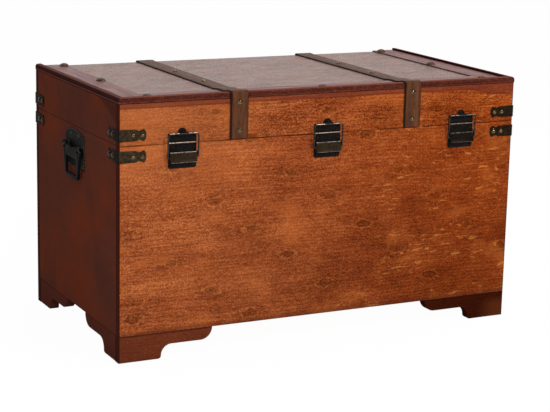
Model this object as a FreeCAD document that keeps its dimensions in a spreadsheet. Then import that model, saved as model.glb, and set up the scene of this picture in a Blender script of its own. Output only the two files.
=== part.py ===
import FreeCAD, Part
import math
import os

import Sketcher

# A wooden sea chest: a box of five panels on bracket feet, and a lid of four rails and a board,
# with straps, studs, corner brackets, three draw latches, two bail handles and two stop hinges.
# Millimetres, +X to the right-hand end as the front is faced, +Y to the back, +Z up.
# The origin is on the floor, under the middle of the case.

Vector = FreeCAD.Vector
doc = FreeCAD.newDocument("SeaChest")
sheet = doc.addObject("Spreadsheet::Sheet", "Sizes")

DRIVING = {
    "Case": {
        "caseWidth": 820,
        "caseDepth": 450,
        "bodyHeight": 346,
        "lidHeight": 86,
        "seamGap": 0.4,
        "panelThickness": 14,
        "bottomThickness": 9,
        "edgeEase": 1.2,
        "openAngle": 100,
    },
    "Feet": {
        "footHeight": 49,
        "footFaceLength": 183,
        "footSideLength": 174,
        "footThickness": 18,
        "toeFaceLength": 76,
        "toeSideLength": 70,
        "toeRound": 6,
        "coveRadius": 20,
        "blockSide": 38,
    },
    "Lid top": {
        "topBoardThickness": 4.7,
        "beadWidth": 11,
        "beadRound": 5,
        "beadFoot": 1.5,
        "beadOverhang": 0.5,
        "bandThickness": 3.3,
        "bandDrop": 3.5,
        "endBandReach": 60,
        "frontBandReach": 57,
        "coverThickness": 1,
    },
    "Straps": {
        "strapInset": 229.5,
        "strapWidth": 34.5,
        "strapThickness": 2.6,
        "strapBend": 3,
        "strapEndGap": 1,
        "strapRamp": 19,
        "strapNoseLead": 6,
        "strapNoseLow": 0.8,
        "strapNoseHigh": 2.4,
        "strapCornerLift": 1.2,
        "strapCornerLead": 20,
        "strapNailDrop": 18.5,
        "strapNailLow": 16,
        "strapTopNail": 69,
    },
    "Nails": {
        "nailHead": 11,
        "nailRise": 3,
        "bracketNailHead": 9.5,
        "shankRadius": 1,
        "nailLength": 7.5,
        "nailPoint": 2,
        "studHead": 20,
        "studRise": 5.5,
        "studInset": 51,
        "frontStudInset": 61,
        "studMargin": 22,
    },
    "Brackets": {
        "bracketSheet": 1.2,
        "bracketReach": 51,
        "bracketHalf": 11,
        "bracketNeck": 7.8,
        "bracketFromSeam": 19,
        "bracketNailNear": 26,
        "bracketNailFar": 43,
        "bracketShoulder": 32.6,
        "bracketNotch": 5.6,
        "bracketNotchBend": 6.2,
        "bracketWaist": 10.2,
        "bracketFlare": 46.5,
        "bracketPointBend": 13.2,
        "bracketEase": 1.1,
    },
    "Hinges": {
        "hingeInset": 141.5,
        "leafLength": 60,
        "leafHeight": 28,
        "leafThickness": 2,
        "knuckleRadius": 4,
        "middleKnuckle": 20,
        "knuckleGap": 0.3,
        "hingePinRadius": 2,
        "runningClearance": 0.05,
        "tailReach": 8,
        "tailThickness": 2.2,
        "tailWidth": 16,
        "tailRoot": 2.5,
        "hingeScrewSide": 23.6,
        "hingeScrewFar": 21.6,
        "hingeScrewNear": 14.3,
    },
    "Screws": {
        "screwHeadRadius": 3.2,
        "screwRise": 1.4,
        "screwRadius": 1.5,
        "screwLength": 11,
        "screwPoint": 3,
        "screwSlotWidth": 0.8,
        "screwSlotDepth": 0.7,
    },
    "Latches": {
        "latchInset": 119.25,
        "latchSheet": 1.5,
        "latchRoot": 0.8,
        "catchHalf": 27,
        "catchLow": 0.8,
        "catchHigh": 18.5,
        "earRadius": 8.5,
        "earHigh": 28,
        "hookWidth": 20,
        "hookFloor": 13.9,
        "hookTip": 20.8,
        "hookReach": 5.8,
        "hookSheet": 1.3,
        "catchScrewSide": 21.5,
        "catchScrewLow": 6.8,
        "earScrewHigh": 21.9,
        "baseHalf": 27,
        "baseLow": 45,
        "baseHigh": 1,
        "baseCorner": 4,
        "baseScrewSide": 21,
        "baseScrewHigh": 7.2,
        "baseScrewLow": 40,
        "ledgeReach": 4.5,
        "ledgeHalf": 26.5,
        "leverPivotOut": 5.5,
        "leverPivotDown": 18.5,
        "lugRadius": 4.5,
        "lugSheet": 1.2,
        "leverPinRadius": 1.5,
        "leverBarrelRadius": 3.2,
        "leverSideGap": 0.3,
        "leverSheet": 1.4,
        "leverReach": 14.5,
        "leverSwell": 0.7,
        "leverBend": 10.6,
        "leverLipOut": 3.1,
        "leverLipIn": 2,
        "leverLipDown": 0.8,
        "cheekTop": 2.6,
        "cheekBehind": 2.2,
        "cheekBelow": 2.5,
        "cheekLow": 10,
        "loopPivotOut": 5.8,
        "loopPivotDown": 25.2,
        "loopRodRadius": 1.4,
        "loopGap": 0.4,
        "loopHalf": 29.2,
        "loopBarUp": 18,
        "loopCorner": 6,
        "loopFootCorner": 2.6,
        "loopFootReach": 6.4,
    },
    "Handles": {
        "handleDrop": 36.5,
        "handleForward": 4,
        "handleSheet": 2,
        "handleHalf": 49,
        "handleTop": 31,
        "handleShoulder": 20,
        "handleBottom": 40,
        "handleArchSide": 25,
        "handleArchBend": 56,
        "handleRoot": 1,
        "handleEase": 0.8,
        "handleScrewSide": 43,
        "handleScrewLow": 34,
        "handleScrewHigh": 21.4,
        "handleScrewHighSide": 21.5,
        "pivotClearance": 0.4,
        "handleLugHalf": 3.5,
        "handleLugRadius": 5.2,
        "handleLugOffset": 36,
        "handlePinRadius": 2,
        "bailEarLength": 7,
        "bailEarRadius": 4.6,
        "bailThickness": 5,
        "bailHalf": 41,
        "bailCrossTop": 8,
        "bailCrossLow": 21,
        "bailCrossDip": 4,
        "bailCrest": 0.5,
        "bailCrossBend": 60,
        "bailLegOuter": 35,
        "bailLegInner": 28,
        "bailBarTop": 53,
        "bailBarLow": 60,
        "bailCorner": 7,
        "bailInnerCorner": 3.5,
        "bailEase": 1.2,
    },
}


class Size:
    """A length that knows its value and the expression that gives it."""

    def __init__(self, text, value):
        self.text = text
        self.value = float(value)

    def __add__(self, other):
        other = asSize(other)
        return Size(f"({self.text} + {other.text})", self.value + other.value)

    def __sub__(self, other):
        other = asSize(other)
        return Size(f"({self.text} - {other.text})", self.value - other.value)

    def __mul__(self, factor):
        factor = asSize(factor)
        return Size(f"({self.text} * {factor.text})", self.value * factor.value)

    def __truediv__(self, divisor):
        divisor = asSize(divisor)
        return Size(f"({self.text} / {divisor.text})", self.value / divisor.value)

    def __neg__(self):
        return Size(f"(-1 * {self.text})", -self.value)


def asSize(number):
    if isinstance(number, Size):
        return number
    return Size(f"({number})" if number < 0 else f"{number}", number)


class DrivingSizes:
    """The sheet's aliases, each as a Size."""

    def __getattr__(self, alias):
        return Size(f"Sizes.{alias}", sheet.get(alias))


def fillSheet():
    row = 1
    for section, sizes in DRIVING.items():
        sheet.set(f"A{row}", section)
        row += 1
        for alias, number in sizes.items():
            sheet.set(f"A{row}", alias)
            sheet.set(f"B{row}", str(number))
            sheet.setAlias(f"B{row}", alias)
            row += 1
    doc.recompute()


fillSheet()
s = DrivingSizes()
nodes = {}
ZERO = asSize(0)
NEAR = 1e-4


# ---------------------------------------------------------------- shared places

halfWidth = s.caseWidth / 2
halfDepth = s.caseDepth / 2
seamHeight = s.footHeight + s.bodyHeight
lidBottom = seamHeight + s.seamGap
beadTop = seamHeight + s.lidHeight
bandTop = beadTop - s.bandDrop
boardTop = bandTop - s.bandThickness
railTop = boardTop - s.topBoardThickness
beadHeight = beadTop - railTop
coverTop = boardTop + s.coverThickness
beadInnerX = halfWidth + s.beadOverhang - s.beadWidth
beadInnerY = halfDepth + s.beadOverhang - s.beadWidth
frontBandBack = -halfDepth + s.frontBandReach
strapOffset = halfWidth - s.strapInset
hingeOffset = halfWidth - s.hingeInset
latchOffset = halfWidth - s.latchInset
handleHeight = seamHeight - s.handleDrop
handleY = -s.handleForward
insideX = halfWidth - s.panelThickness
insideY = halfDepth - s.panelThickness
hingeY = halfDepth + s.knuckleRadius
hingeZ = seamHeight + s.seamGap / 2
pilotRadius = s.shankRadius + s.runningClearance
screwHole = s.screwRadius + s.runningClearance
pivotOut = s.handleSheet + s.bailEarRadius + s.pivotClearance


# ---------------------------------------------------------------- modelling helpers

def keep(thing, name):
    """Label a finished sub-part and list it for export."""
    thing.Label = name
    nodes[name] = thing
    return thing


def newBody(name):
    body = doc.addObject("PartDesign::Body", name)
    body.Label = name
    return body


def place(thing, x=ZERO, y=ZERO, z=ZERO, turn=0):
    """Put a body at x, y, z, turned about +Z by whole quarter turns."""
    thing.Placement = FreeCAD.Placement(Vector(0, 0, 0), FreeCAD.Rotation(Vector(0, 0, 1), turn))
    for axis, where in (("x", x), ("y", y), ("z", z)):
        thing.setExpression(f"Placement.Base.{axis}", where.text)


def originPlane(body, role):
    return next(item for item in body.Origin.OriginFeatures if item.Role == role)


def newSketch(body, role, lift=ZERO, turn=0):
    """A sketch on one of the body's own origin planes, lifted along the plane's normal."""
    sketch = body.newObject("Sketcher::SketchObject", body.Name + "Sketch")
    sketch.AttachmentSupport = [(originPlane(body, role), "")]
    sketch.MapMode = "FlatFace"
    sketch.AttachmentOffset = FreeCAD.Placement(Vector(0, 0, 0), FreeCAD.Rotation(Vector(0, 0, 1), turn))
    sketch.setExpression("AttachmentOffset.Base.z", lift.text)
    return sketch


def constrain(sketch, kind, *where):
    """Add a dimension whose value follows a Size, given last."""
    size = where[-1]
    index = sketch.addConstraint(Sketcher.Constraint(kind, *where[:-1], size.value))
    sketch.setExpression(f"Constraints[{index}]", size.text)


def arcThrough(start, end, radius):
    """The arc from start to end; a positive radius turns left, a negative one right."""
    chord = end - start
    half = chord.Length / 2
    rise = math.sqrt(max(radius * radius - half * half, 0))
    side = Vector(-chord.y, chord.x, 0).normalize() * math.copysign(1, radius)
    centre = start + chord * 0.5 + side * rise
    first = math.atan2(start.y - centre.y, start.x - centre.x)
    last = math.atan2(end.y - centre.y, end.x - centre.x)
    if radius < 0:
        first, last = last, first
    circle = Part.Circle(centre, Vector(0, 0, 1), abs(radius))
    return Part.ArcOfCircle(circle, first, last)


def outline(sketch, corners):
    """A closed outline. A corner is (across, up), or (across, up, radius) where an arc leaves it."""
    points = [Vector(corner[0].value, corner[1].value, 0) for corner in corners]
    starts = []
    for i, corner in enumerate(corners):
        start, end = points[i], points[(i + 1) % len(points)]
        if len(corner) == 2:
            edge = sketch.addGeometry(Part.LineSegment(start, end))
            starts.append((edge, 1, 2))
        else:
            edge = sketch.addGeometry(arcThrough(start, end, corner[2].value))
            starts.append((edge, 1, 2) if corner[2].value > 0 else (edge, 2, 1))
    for i, (edge, first, last) in enumerate(starts):
        following = starts[(i + 1) % len(starts)]
        sketch.addConstraint(Sketcher.Constraint("Coincident", edge, last, following[0], following[1]))
    for corner, (edge, first, last) in zip(corners, starts):
        constrain(sketch, "DistanceX", -1, 1, edge, first, corner[0])
        constrain(sketch, "DistanceY", -1, 1, edge, first, corner[1])
        if len(corner) == 3:
            constrainArc(sketch, edge, corner)


def constrainArc(sketch, edge, corner):
    """Fix an arc's radius, or, where it is a half circle, its centre level with its ends."""
    radius = corner[2] if corner[2].value > 0 else -corner[2]
    arc = sketch.Geometry[edge]
    span = arc.EndPoint - arc.StartPoint
    if abs(span.Length - 2 * radius.value) > NEAR:
        constrain(sketch, "Radius", edge, radius)
    elif abs(span.y) < abs(span.x):
        constrain(sketch, "DistanceY", -1, 1, edge, 3, corner[1])
    else:
        constrain(sketch, "DistanceX", -1, 1, edge, 3, corner[0])


def ring(sketch, across, up, radius):
    """A full circle at a dimensioned centre."""
    edge = sketch.addGeometry(Part.Circle(Vector(across.value, up.value, 0), Vector(0, 0, 1), radius.value))
    constrain(sketch, "DistanceX", -1, 1, edge, 3, across)
    constrain(sketch, "DistanceY", -1, 1, edge, 3, up)
    constrain(sketch, "Radius", edge, radius)


def rectangle(left, low, right, high):
    return [(left, low), (right, low), (right, high), (left, high)]


def pad(body, sketch, length, reverse=False, symmetric=False):
    feature = body.newObject("PartDesign::Pad", body.Name + "Pad")
    feature.Profile = sketch
    feature.Reversed = reverse
    if symmetric:
        feature.SideType = "Symmetric"
    feature.setExpression("Length", length.text)
    return feature


def pocketThrough(body, sketch):
    """Cut the sketch right through the body, both ways."""
    feature = body.newObject("PartDesign::Pocket", body.Name + "Pocket")
    feature.Profile = sketch
    feature.Type = "ThroughAll"
    feature.SideType = "Symmetric"
    return feature


def roundEdges(body, radius, wanted):
    """Fillet those edges of the body for which wanted(edge) is true."""
    doc.recompute()
    tip = body.Tip
    names = [f"Edge{i + 1}" for i, edge in enumerate(tip.Shape.Edges) if wanted(edge)]
    feature = body.newObject("PartDesign::Fillet", body.Name + "Fillet")
    feature.Base = (tip, names)
    feature.setExpression("Radius", radius.text)
    return feature


def onPlane(axis, size):
    """A test for edges that lie in the plane where the named coordinate has this size."""
    def test(edge):
        ends = [getattr(vertex.Point, axis) for vertex in edge.Vertexes]
        return all(abs(end - size.value) < NEAR for end in ends)
    return test


def board(name, low, high, easedFace=None):
    """A straight board between two corners. easedFace is (axis, "low" or "high")."""
    body = newBody(name)
    across, deep, tall = (high[i] - low[i] for i in range(3))
    sketch = newSketch(body, "XY_Plane")
    outline(sketch, rectangle(ZERO, ZERO, across, deep))
    pad(body, sketch, tall)
    place(body, *low)
    if easedFace:
        axis, end = easedFace
        extent = dict(x=across, y=deep, z=tall)[axis]
        roundEdges(body, s.edgeEase, onPlane(axis, ZERO if end == "low" else extent))
    return keep(body, name)


def group(name, shapes):
    """One node that holds several separate solids."""
    thing = doc.addObject("Part::Feature", name)
    solids = [solid for shape in shapes for solid in shape.Solids]
    thing.Shape = Part.makeCompound(solids)
    return keep(thing, name)


def copyAt(shape, where, turn=0, axis=Vector(0, 0, 1)):
    """A copy of a shape turned about its own origin and then moved."""
    moved = shape.copy()
    moved.transformShape(FreeCAD.Placement(where, FreeCAD.Rotation(axis, turn)).toMatrix())
    return moved


def turned(profile):
    """A solid of revolution about +Z from (radius, height) corners, with an optional arc middle."""
    edges = []
    for i, corner in enumerate(profile):
        start = Vector(corner[0], 0, corner[1])
        following = profile[(i + 1) % len(profile)]
        end = Vector(following[0], 0, following[1])
        if len(corner) == 3:
            edges.append(Part.Arc(start, Vector(corner[2][0], 0, corner[2][1]), end).toShape())
        else:
            edges.append(Part.LineSegment(start, end).toShape())
    return Part.Face(Part.Wire(edges)).revolve(Vector(0, 0, 0), Vector(0, 0, 1), 360)


def headed(headRadius, rise, shankRadius, length, point):
    """A domed head with its flat underside at z = 0, and a pointed shank down -Z."""
    sphere = (headRadius * headRadius + rise * rise) / (2 * rise)
    half = math.asin(headRadius / sphere) / 2
    middle = (sphere * math.sin(half), rise - sphere + sphere * math.cos(half))
    return turned([(0, -length), (shankRadius, point - length), (shankRadius, 0),
                   (headRadius, 0, middle), (0, rise)])


def domedNail(headDiameter, rise):
    return headed(headDiameter.value / 2, rise.value, s.shankRadius.value,
                  s.nailLength.value, s.nailPoint.value)


def woodScrew():
    """A round-headed screw with a slot across its head."""
    radius, rise = s.screwHeadRadius.value, s.screwRise.value
    solid = headed(radius, rise, s.screwRadius.value, s.screwLength.value, s.screwPoint.value)
    wide, deep = s.screwSlotWidth.value, s.screwSlotDepth.value
    slot = Part.makeBox(radius * 2, wide, rise, Vector(-radius, -wide / 2, rise - deep))
    return solid.cut(slot)


# Turns that point a fastener's +Z out of a face of the case.
OUT_OF = {
    "front": (Vector(1, 0, 0), 90),
    "back": (Vector(1, 0, 0), -90),
    "left": (Vector(0, 1, 0), -90),
    "right": (Vector(0, 1, 0), 90),
    "top": (Vector(0, 0, 1), 0),
}


def fastener(shape, face, x, y, z):
    axis, turn = OUT_OF[face]
    return copyAt(shape, Vector(x, y, z), turn, axis)


# ---------------------------------------------------------------- the body's panels

def buildPanels():
    low, high = s.footHeight, seamHeight
    board("front_panel", (-halfWidth, -halfDepth, low), (halfWidth, -insideY, high), ("y", "low"))
    board("back_panel", (-halfWidth, insideY, low), (halfWidth, halfDepth, high), ("y", "high"))
    board("left_side_panel", (-halfWidth, -insideY, low), (-insideX, insideY, high), ("x", "low"))
    board("right_side_panel", (insideX, -insideY, low), (halfWidth, insideY, high), ("x", "high"))
    board("bottom_panel", (-insideX, -insideY, low), (insideX, insideY, low + s.bottomThickness))


# ---------------------------------------------------------------- bracket feet

def footOutline(start, length, toe):
    """A foot board from its corner: toe, concave cove, straight step, convex end."""
    step = s.toeRound + s.coveRadius
    endRound = s.footHeight - step
    toeEnd = toe + s.toeRound
    return [
        (start, ZERO),
        (toe, ZERO, s.toeRound),
        (toeEnd, s.toeRound, -s.coveRadius),
        (toeEnd + s.coveRadius, step),
        (length - endRound, step, endRound),
        (length, s.footHeight),
        (start, s.footHeight),
    ]


def footBoard(name, x, y, turn, inward):
    """A foot board along local +X, its outer face on local y = 0."""
    body = newBody(name)
    sketch = newSketch(body, "XZ_Plane")
    if name.endswith("face"):
        outline(sketch, footOutline(ZERO, s.footFaceLength, s.toeFaceLength))
    else:
        outline(sketch, footOutline(s.footThickness, s.footSideLength, s.toeSideLength))
    pad(body, sketch, s.footThickness, reverse=inward)
    place(body, x, y, ZERO, turn)
    roundEdges(body, s.edgeEase, onPlane("y", ZERO))
    return keep(body, name)


def buildFeet():
    """Two boards at each corner; a board's sketch runs away from the corner along local +X."""
    x, y = halfWidth, halfDepth
    footBoard("foot_front_left_face", -x, -y, 0, True)
    footBoard("foot_front_left_side", -x, -y, 90, False)
    footBoard("foot_front_right_face", x, -y, 180, False)
    footBoard("foot_front_right_side", x, -y, 90, True)
    footBoard("foot_back_right_face", x, y, 180, True)
    footBoard("foot_back_right_side", x, y, -90, False)
    footBoard("foot_back_left_face", -x, y, 0, False)
    footBoard("foot_back_left_side", -x, y, -90, True)
    buildFootBlocks()


def buildFootBlocks():
    """Square glue blocks in the feet's inner corners, under the bottom panel."""
    side = s.blockSide.value
    x = halfWidth.value - s.footThickness.value - side / 2
    y = halfDepth.value - s.footThickness.value - side / 2
    tall = s.footHeight.value - s.toeRound.value
    block = Part.makeBox(side, side, tall, Vector(-side / 2, -side / 2, s.toeRound.value))
    corners = [(-x, -y), (x, -y), (x, y), (-x, y)]
    group("foot_glue_blocks", [copyAt(block, Vector(cx, cy, 0)) for cx, cy in corners])


# ---------------------------------------------------------------- the lid's frame

def buildLidFrame():
    low, high = lidBottom, railTop
    board("lid_front_rail", (-halfWidth, -halfDepth, low), (halfWidth, -insideY, high), ("y", "low"))
    board("lid_back_rail", (-halfWidth, insideY, low), (halfWidth, halfDepth, high), ("y", "high"))
    board("lid_left_rail", (-halfWidth, -insideY, low), (-insideX, insideY, high), ("x", "low"))
    board("lid_right_rail", (insideX, -insideY, low), (halfWidth, insideY, high), ("x", "high"))
    board("lid_top_board", (-beadInnerX, -beadInnerY, high), (beadInnerX, halfDepth, boardTop))


def bead(name, half, x, y, turn, mitred):
    """A round-nosed edge moulding along local X, its nose on local y = -overhang."""
    body = newBody(name)
    nose = -s.beadOverhang
    back = nose + s.beadWidth
    reach = {side: half + s.beadOverhang if side in mitred else half for side in (-1, 1)}
    sketch = newSketch(body, "YZ_Plane", -reach[-1])
    outline(sketch, [
        (nose + s.beadFoot, ZERO), (back, ZERO), (back, beadHeight),
        (nose + s.beadRound, beadHeight, s.beadRound), (nose, beadHeight - s.beadRound),
        (nose, s.beadFoot, s.beadFoot)])
    pad(body, sketch, reach[-1] + reach[1])
    for side in mitred:
        outer = reach[side] * side
        inner = (reach[side] - s.beadWidth) * side
        mitre = newSketch(body, "XY_Plane")
        outline(mitre, [(outer, nose), (outer, back), (inner, back)])
        pocketThrough(body, mitre)
    place(body, x, y, railTop, turn)
    return keep(body, name)


def buildLidTop():
    """A bead on three sides; the bands and the covering run out to the back edge."""
    bead("front_bead", halfWidth, ZERO, -halfDepth, 0, (-1, 1))
    bead("right_bead", halfDepth, halfWidth, ZERO, 90, (-1,))
    bead("left_bead", halfDepth, -halfWidth, ZERO, -90, (1,))
    bandInner = halfWidth - s.endBandReach
    eased = ("z", "high")
    board("left_end_band", (-beadInnerX, -beadInnerY, boardTop), (-bandInner, halfDepth, bandTop), eased)
    board("right_end_band", (bandInner, -beadInnerY, boardTop), (beadInnerX, halfDepth, bandTop), eased)
    board("front_band", (-bandInner, -beadInnerY, boardTop), (bandInner, frontBandBack, bandTop), eased)
    board("top_covering", (-bandInner, frontBandBack, boardTop), (bandInner, halfDepth, coverTop))


# ---------------------------------------------------------------- straps

def bentSide(path, bend, shift):
    """The edges of a bent strip's side: straight runs and arcs, shifted to the path's left."""
    count = len(path)
    normals = []
    for a, b in zip(path, path[1:]):
        along = (b - a).normalize()
        normals.append(Vector(0, -along.z, along.y))
    moved = [path[0] + normals[0] * shift]
    for i in range(1, count - 1):
        both = normals[i - 1] + normals[i]
        moved.append(path[i] + both * (2 * shift / both.dot(both)))
    moved.append(path[-1] + normals[-1] * shift)
    edges = []
    start = moved[0]
    for i in range(1, count - 1):
        back = (moved[i - 1] - moved[i]).normalize()
        ahead = (moved[i + 1] - moved[i]).normalize()
        turn = math.pi - back.getAngle(ahead)
        left = normals[i - 1].dot(ahead) > 0
        radius = bend - shift if left else bend + shift
        cut = radius * math.tan(turn / 2)
        first, last = moved[i] + back * cut, moved[i] + ahead * cut
        inward = (back + ahead).normalize()
        middle = moved[i] + inward * (radius / math.cos(turn / 2) - radius)
        edges.append(Part.LineSegment(start, first).toShape())
        edges.append(Part.Arc(first, middle, last).toShape())
        start = last
    edges.append(Part.LineSegment(start, moved[-1]).toShape())
    return edges


def strapPath():
    """The strap's underside in Y and Z, from the front seam over the lid to the back seam."""
    face, nose = halfDepth.value, halfDepth.value + s.beadOverhang.value
    low = lidBottom.value + s.strapEndGap.value
    railHigh, lead = railTop.value, s.strapNoseLead.value
    noseLow, noseHigh = s.strapNoseLow.value, s.strapNoseHigh.value
    top, inner = beadTop.value, beadInnerY.value
    clear = s.edgeEase.value
    ramp = s.strapRamp.value
    flat = coverTop.value
    stepFront = face - s.frontBandReach.value
    rise = bandTop.value
    lift, bow = s.strapCornerLift.value, s.strapCornerLead.value
    return [
        Vector(0, -face, low),
        Vector(0, -face, railHigh - lead),
        Vector(0, -nose, railHigh + noseLow),
        Vector(0, -nose, top - noseHigh),
        Vector(0, -nose + noseHigh, top),
        Vector(0, -inner + clear, top),
        Vector(0, -inner + ramp, rise),
        Vector(0, -stepFront, rise),
        Vector(0, -stepFront + ramp, flat),
        Vector(0, face - bow, flat),
        Vector(0, face + lift, flat + lift),
        Vector(0, face, flat - bow),
        Vector(0, face, low),
    ]


def buildStraps():
    """Two leather straps, each one bent strip."""
    path = strapPath()
    thickness, bend = s.strapThickness.value, s.strapBend.value
    # Seen along +X the path runs from front to back, so its left side is the outside.
    inside = bentSide(path, bend, 0)
    outside = bentSide(path, bend, thickness)
    first = Part.LineSegment(inside[0].firstVertex().Point, outside[0].firstVertex().Point).toShape()
    last = Part.LineSegment(inside[-1].lastVertex().Point, outside[-1].lastVertex().Point).toShape()
    face = Part.Face(Part.Wire(Part.__sortEdges__(inside + outside + [first, last])))
    strip = face.extrude(Vector(s.strapWidth.value, 0, 0))
    for name, side in (("left_strap", -1), ("right_strap", 1)):
        thing = doc.addObject("Part::Feature", name)
        thing.Shape = strip
        x = side * strapOffset.value - s.strapWidth.value / 2
        thing.Placement = FreeCAD.Placement(Vector(x, 0, 0), FreeCAD.Rotation())
        keep(thing, name)


def buildStrapNails():
    nail = domedNail(s.nailHead, s.nailRise)
    out = halfDepth.value + s.strapThickness.value
    up = coverTop.value + s.strapThickness.value
    shapes = []
    for x in (-strapOffset.value, strapOffset.value):
        for height in (seamHeight + s.strapNailLow, beadTop - s.strapNailDrop):
            shapes.append(fastener(nail, "front", x, -out, height.value))
            shapes.append(fastener(nail, "back", x, out, height.value))
        for y in (-s.strapTopNail.value, s.strapTopNail.value):
            shapes.append(fastener(nail, "top", x, y, up))
    group("strap_nails", shapes)


def buildTopStuds():
    """Three large studs on each end band, and one in the middle of the front band."""
    stud = domedNail(s.studHead, s.studRise)
    x = halfWidth.value - s.studInset.value
    frontX = halfWidth.value - s.frontStudInset.value
    y = halfDepth.value - s.studMargin.value
    up = bandTop.value
    places = [(-frontX, -y), (-x, 0), (-x, y), (frontX, -y), (x, 0), (x, y), (0, -y)]
    group("top_studs", [fastener(stud, "top", px, py, up) for px, py in places])


# ---------------------------------------------------------------- corner brackets

def bracketWing():
    """One wing of a bracket: straight, a notched neck, a flared head with a rounded point."""
    half, neck, waist = s.bracketHalf, s.bracketNeck, s.bracketWaist
    shoulder = s.bracketShoulder
    waistEnd = shoulder + s.bracketNotch
    return [
        (-s.bracketSheet, -half),
        (shoulder, -waist, -s.bracketNotchBend),
        (waistEnd, -neck),
        (s.bracketFlare, -half, s.bracketPointBend),
        (s.bracketReach, ZERO, s.bracketPointBend),
        (s.bracketFlare, half),
        (waistEnd, neck, -s.bracketNotchBend),
        (shoulder, waist),
        (-s.bracketSheet, half),
    ]


def bracketBody():
    """A sheet bracket round a vertical corner: wings along local +X and +Y, outside on -X and -Y."""
    body = newBody("bracket_pattern")
    for role, reverse in (("XZ_Plane", False), ("YZ_Plane", True)):
        sketch = newSketch(body, role)
        outline(sketch, bracketWing())
        for along in (s.bracketNailNear, s.bracketNailFar):
            ring(sketch, along, ZERO, pilotRadius)
        pad(body, sketch, s.bracketSheet, reverse=reverse)

    def outerCorner(edge):
        reach = -s.bracketSheet.value
        return all(abs(v.X - reach) < NEAR and abs(v.Y - reach) < NEAR for v in edge.Vertexes)
    roundEdges(body, s.bracketEase, outerCorner)
    return body


def corners():
    """The case's four vertical corners, with the turn that brings a bracket to each."""
    x, y = halfWidth.value, halfDepth.value
    return [(-x, -y, 0), (x, -y, 90), (x, y, 180), (-x, y, -90)]


def buildBrackets():
    pattern = bracketBody()
    doc.recompute()
    nail = domedNail(s.bracketNailHead, s.nailRise)
    for part, side in (("lid", 1), ("body", -1)):
        height = seamHeight.value + side * s.bracketFromSeam.value
        plates = [copyAt(pattern.Shape, Vector(x, y, height), turn) for x, y, turn in corners()]
        group(part + "_corner_brackets", plates)
        group(part + "_bracket_nails", bracketNails(nail, height))


def bracketNails(nail, height):
    x, y = halfWidth.value, halfDepth.value
    out = s.bracketSheet.value
    shapes = []
    for along in (s.bracketNailNear.value, s.bracketNailFar.value):
        for side in (-1, 1):
            shapes.append(fastener(nail, "front", side * (x - along), -y - out, height))
            shapes.append(fastener(nail, "back", side * (x - along), y + out, height))
            shapes.append(fastener(nail, "left", -x - out, side * (y - along), height))
            shapes.append(fastener(nail, "right", x + out, side * (y - along), height))
    return shapes


# ---------------------------------------------------------------- hinges

def hingeScrewPlaces():
    """Screw centres on a leaf, across and away from the hinge line."""
    side, far, near = s.hingeScrewSide, s.hingeScrewFar, s.hingeScrewNear
    return [(-side, near), (ZERO, far), (side, near)]


def hingeLeaf(name, side):
    """A leaf on the back face, hinge line along local X. side is 1 for the lid, -1 for the body."""
    body = newBody(name)
    half, gap = s.leafLength / 2, s.knuckleGap
    middle = s.middleKnuckle / 2
    clear = s.knuckleRadius + gap * 2
    far, edge = s.leafHeight * side, s.seamGap * side
    if side < 0:
        cut = [(half, edge), (middle + gap, edge), (middle + gap, -clear),
               (-middle - gap, -clear), (-middle - gap, edge), (-half, edge)]
    else:
        cut = [(half, clear), (middle, clear), (middle, edge),
               (-middle, edge), (-middle, clear), (-half, clear)]
    sketch = newSketch(body, "XZ_Plane", s.knuckleRadius)
    outline(sketch, [(-half, far), (half, far)] + cut)
    for across, away in hingeScrewPlaces():
        ring(sketch, across, away * side, screwHole)
    pad(body, sketch, s.leafThickness, reverse=True)
    return body


def knuckle(body, start, length):
    sketch = newSketch(body, "YZ_Plane", start)
    ring(sketch, ZERO, ZERO, s.knuckleRadius)
    ring(sketch, ZERO, ZERO, s.hingePinRadius + s.runningClearance)
    pad(body, sketch, length)


def buildHinges():
    """Two butt hinges whose lid leaves carry a tail that stops the lid when it is open."""
    half, middle, gap = s.leafLength / 2, s.middleKnuckle / 2, s.knuckleGap
    bodyLeaf = hingeLeaf("body_leaf_pattern", -1)
    knuckle(bodyLeaf, -half, half - middle - gap)
    knuckle(bodyLeaf, middle + gap, half - middle - gap)
    lidLeaf = hingeLeaf("lid_leaf_pattern", 1)
    knuckle(lidLeaf, -middle, s.middleKnuckle)
    tail = newSketch(lidLeaf, "YZ_Plane", -s.tailWidth / 2, turn=s.openAngle.value)
    bearing = -s.knuckleRadius + s.leafThickness + s.knuckleGap
    outline(tail, rectangle(bearing, -s.tailReach, bearing + s.tailThickness, -s.tailRoot))
    pad(lidLeaf, tail, s.tailWidth)
    doc.recompute()
    pin = Part.makeCylinder(s.hingePinRadius.value, s.leafLength.value,
                            Vector(-half.value, 0, 0), Vector(1, 0, 0))
    places = [Vector(side * hingeOffset.value, hingeY.value, hingeZ.value) for side in (-1, 1)]
    group("hinge_body_leaves", [copyAt(bodyLeaf.Shape, where) for where in places])
    group("hinge_lid_leaves", [copyAt(lidLeaf.Shape, where) for where in places])
    group("hinge_pins", [copyAt(pin, where) for where in places])
    screw = woodScrew()
    out = halfDepth.value + s.leafThickness.value
    for part, side in (("body", -1), ("lid", 1)):
        shapes = []
        for where in places:
            for across, away in hingeScrewPlaces():
                z = where.z + side * away.value
                shapes.append(fastener(screw, "back", where.x + across.value, out, z))
        group(part + "_hinge_screws", shapes)


# ---------------------------------------------------------------- draw latches

def catchScrewPlaces():
    side, low = s.catchScrewSide, s.catchScrewLow
    return [(-side, low), (side, low), (ZERO, s.earScrewHigh)]


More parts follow.
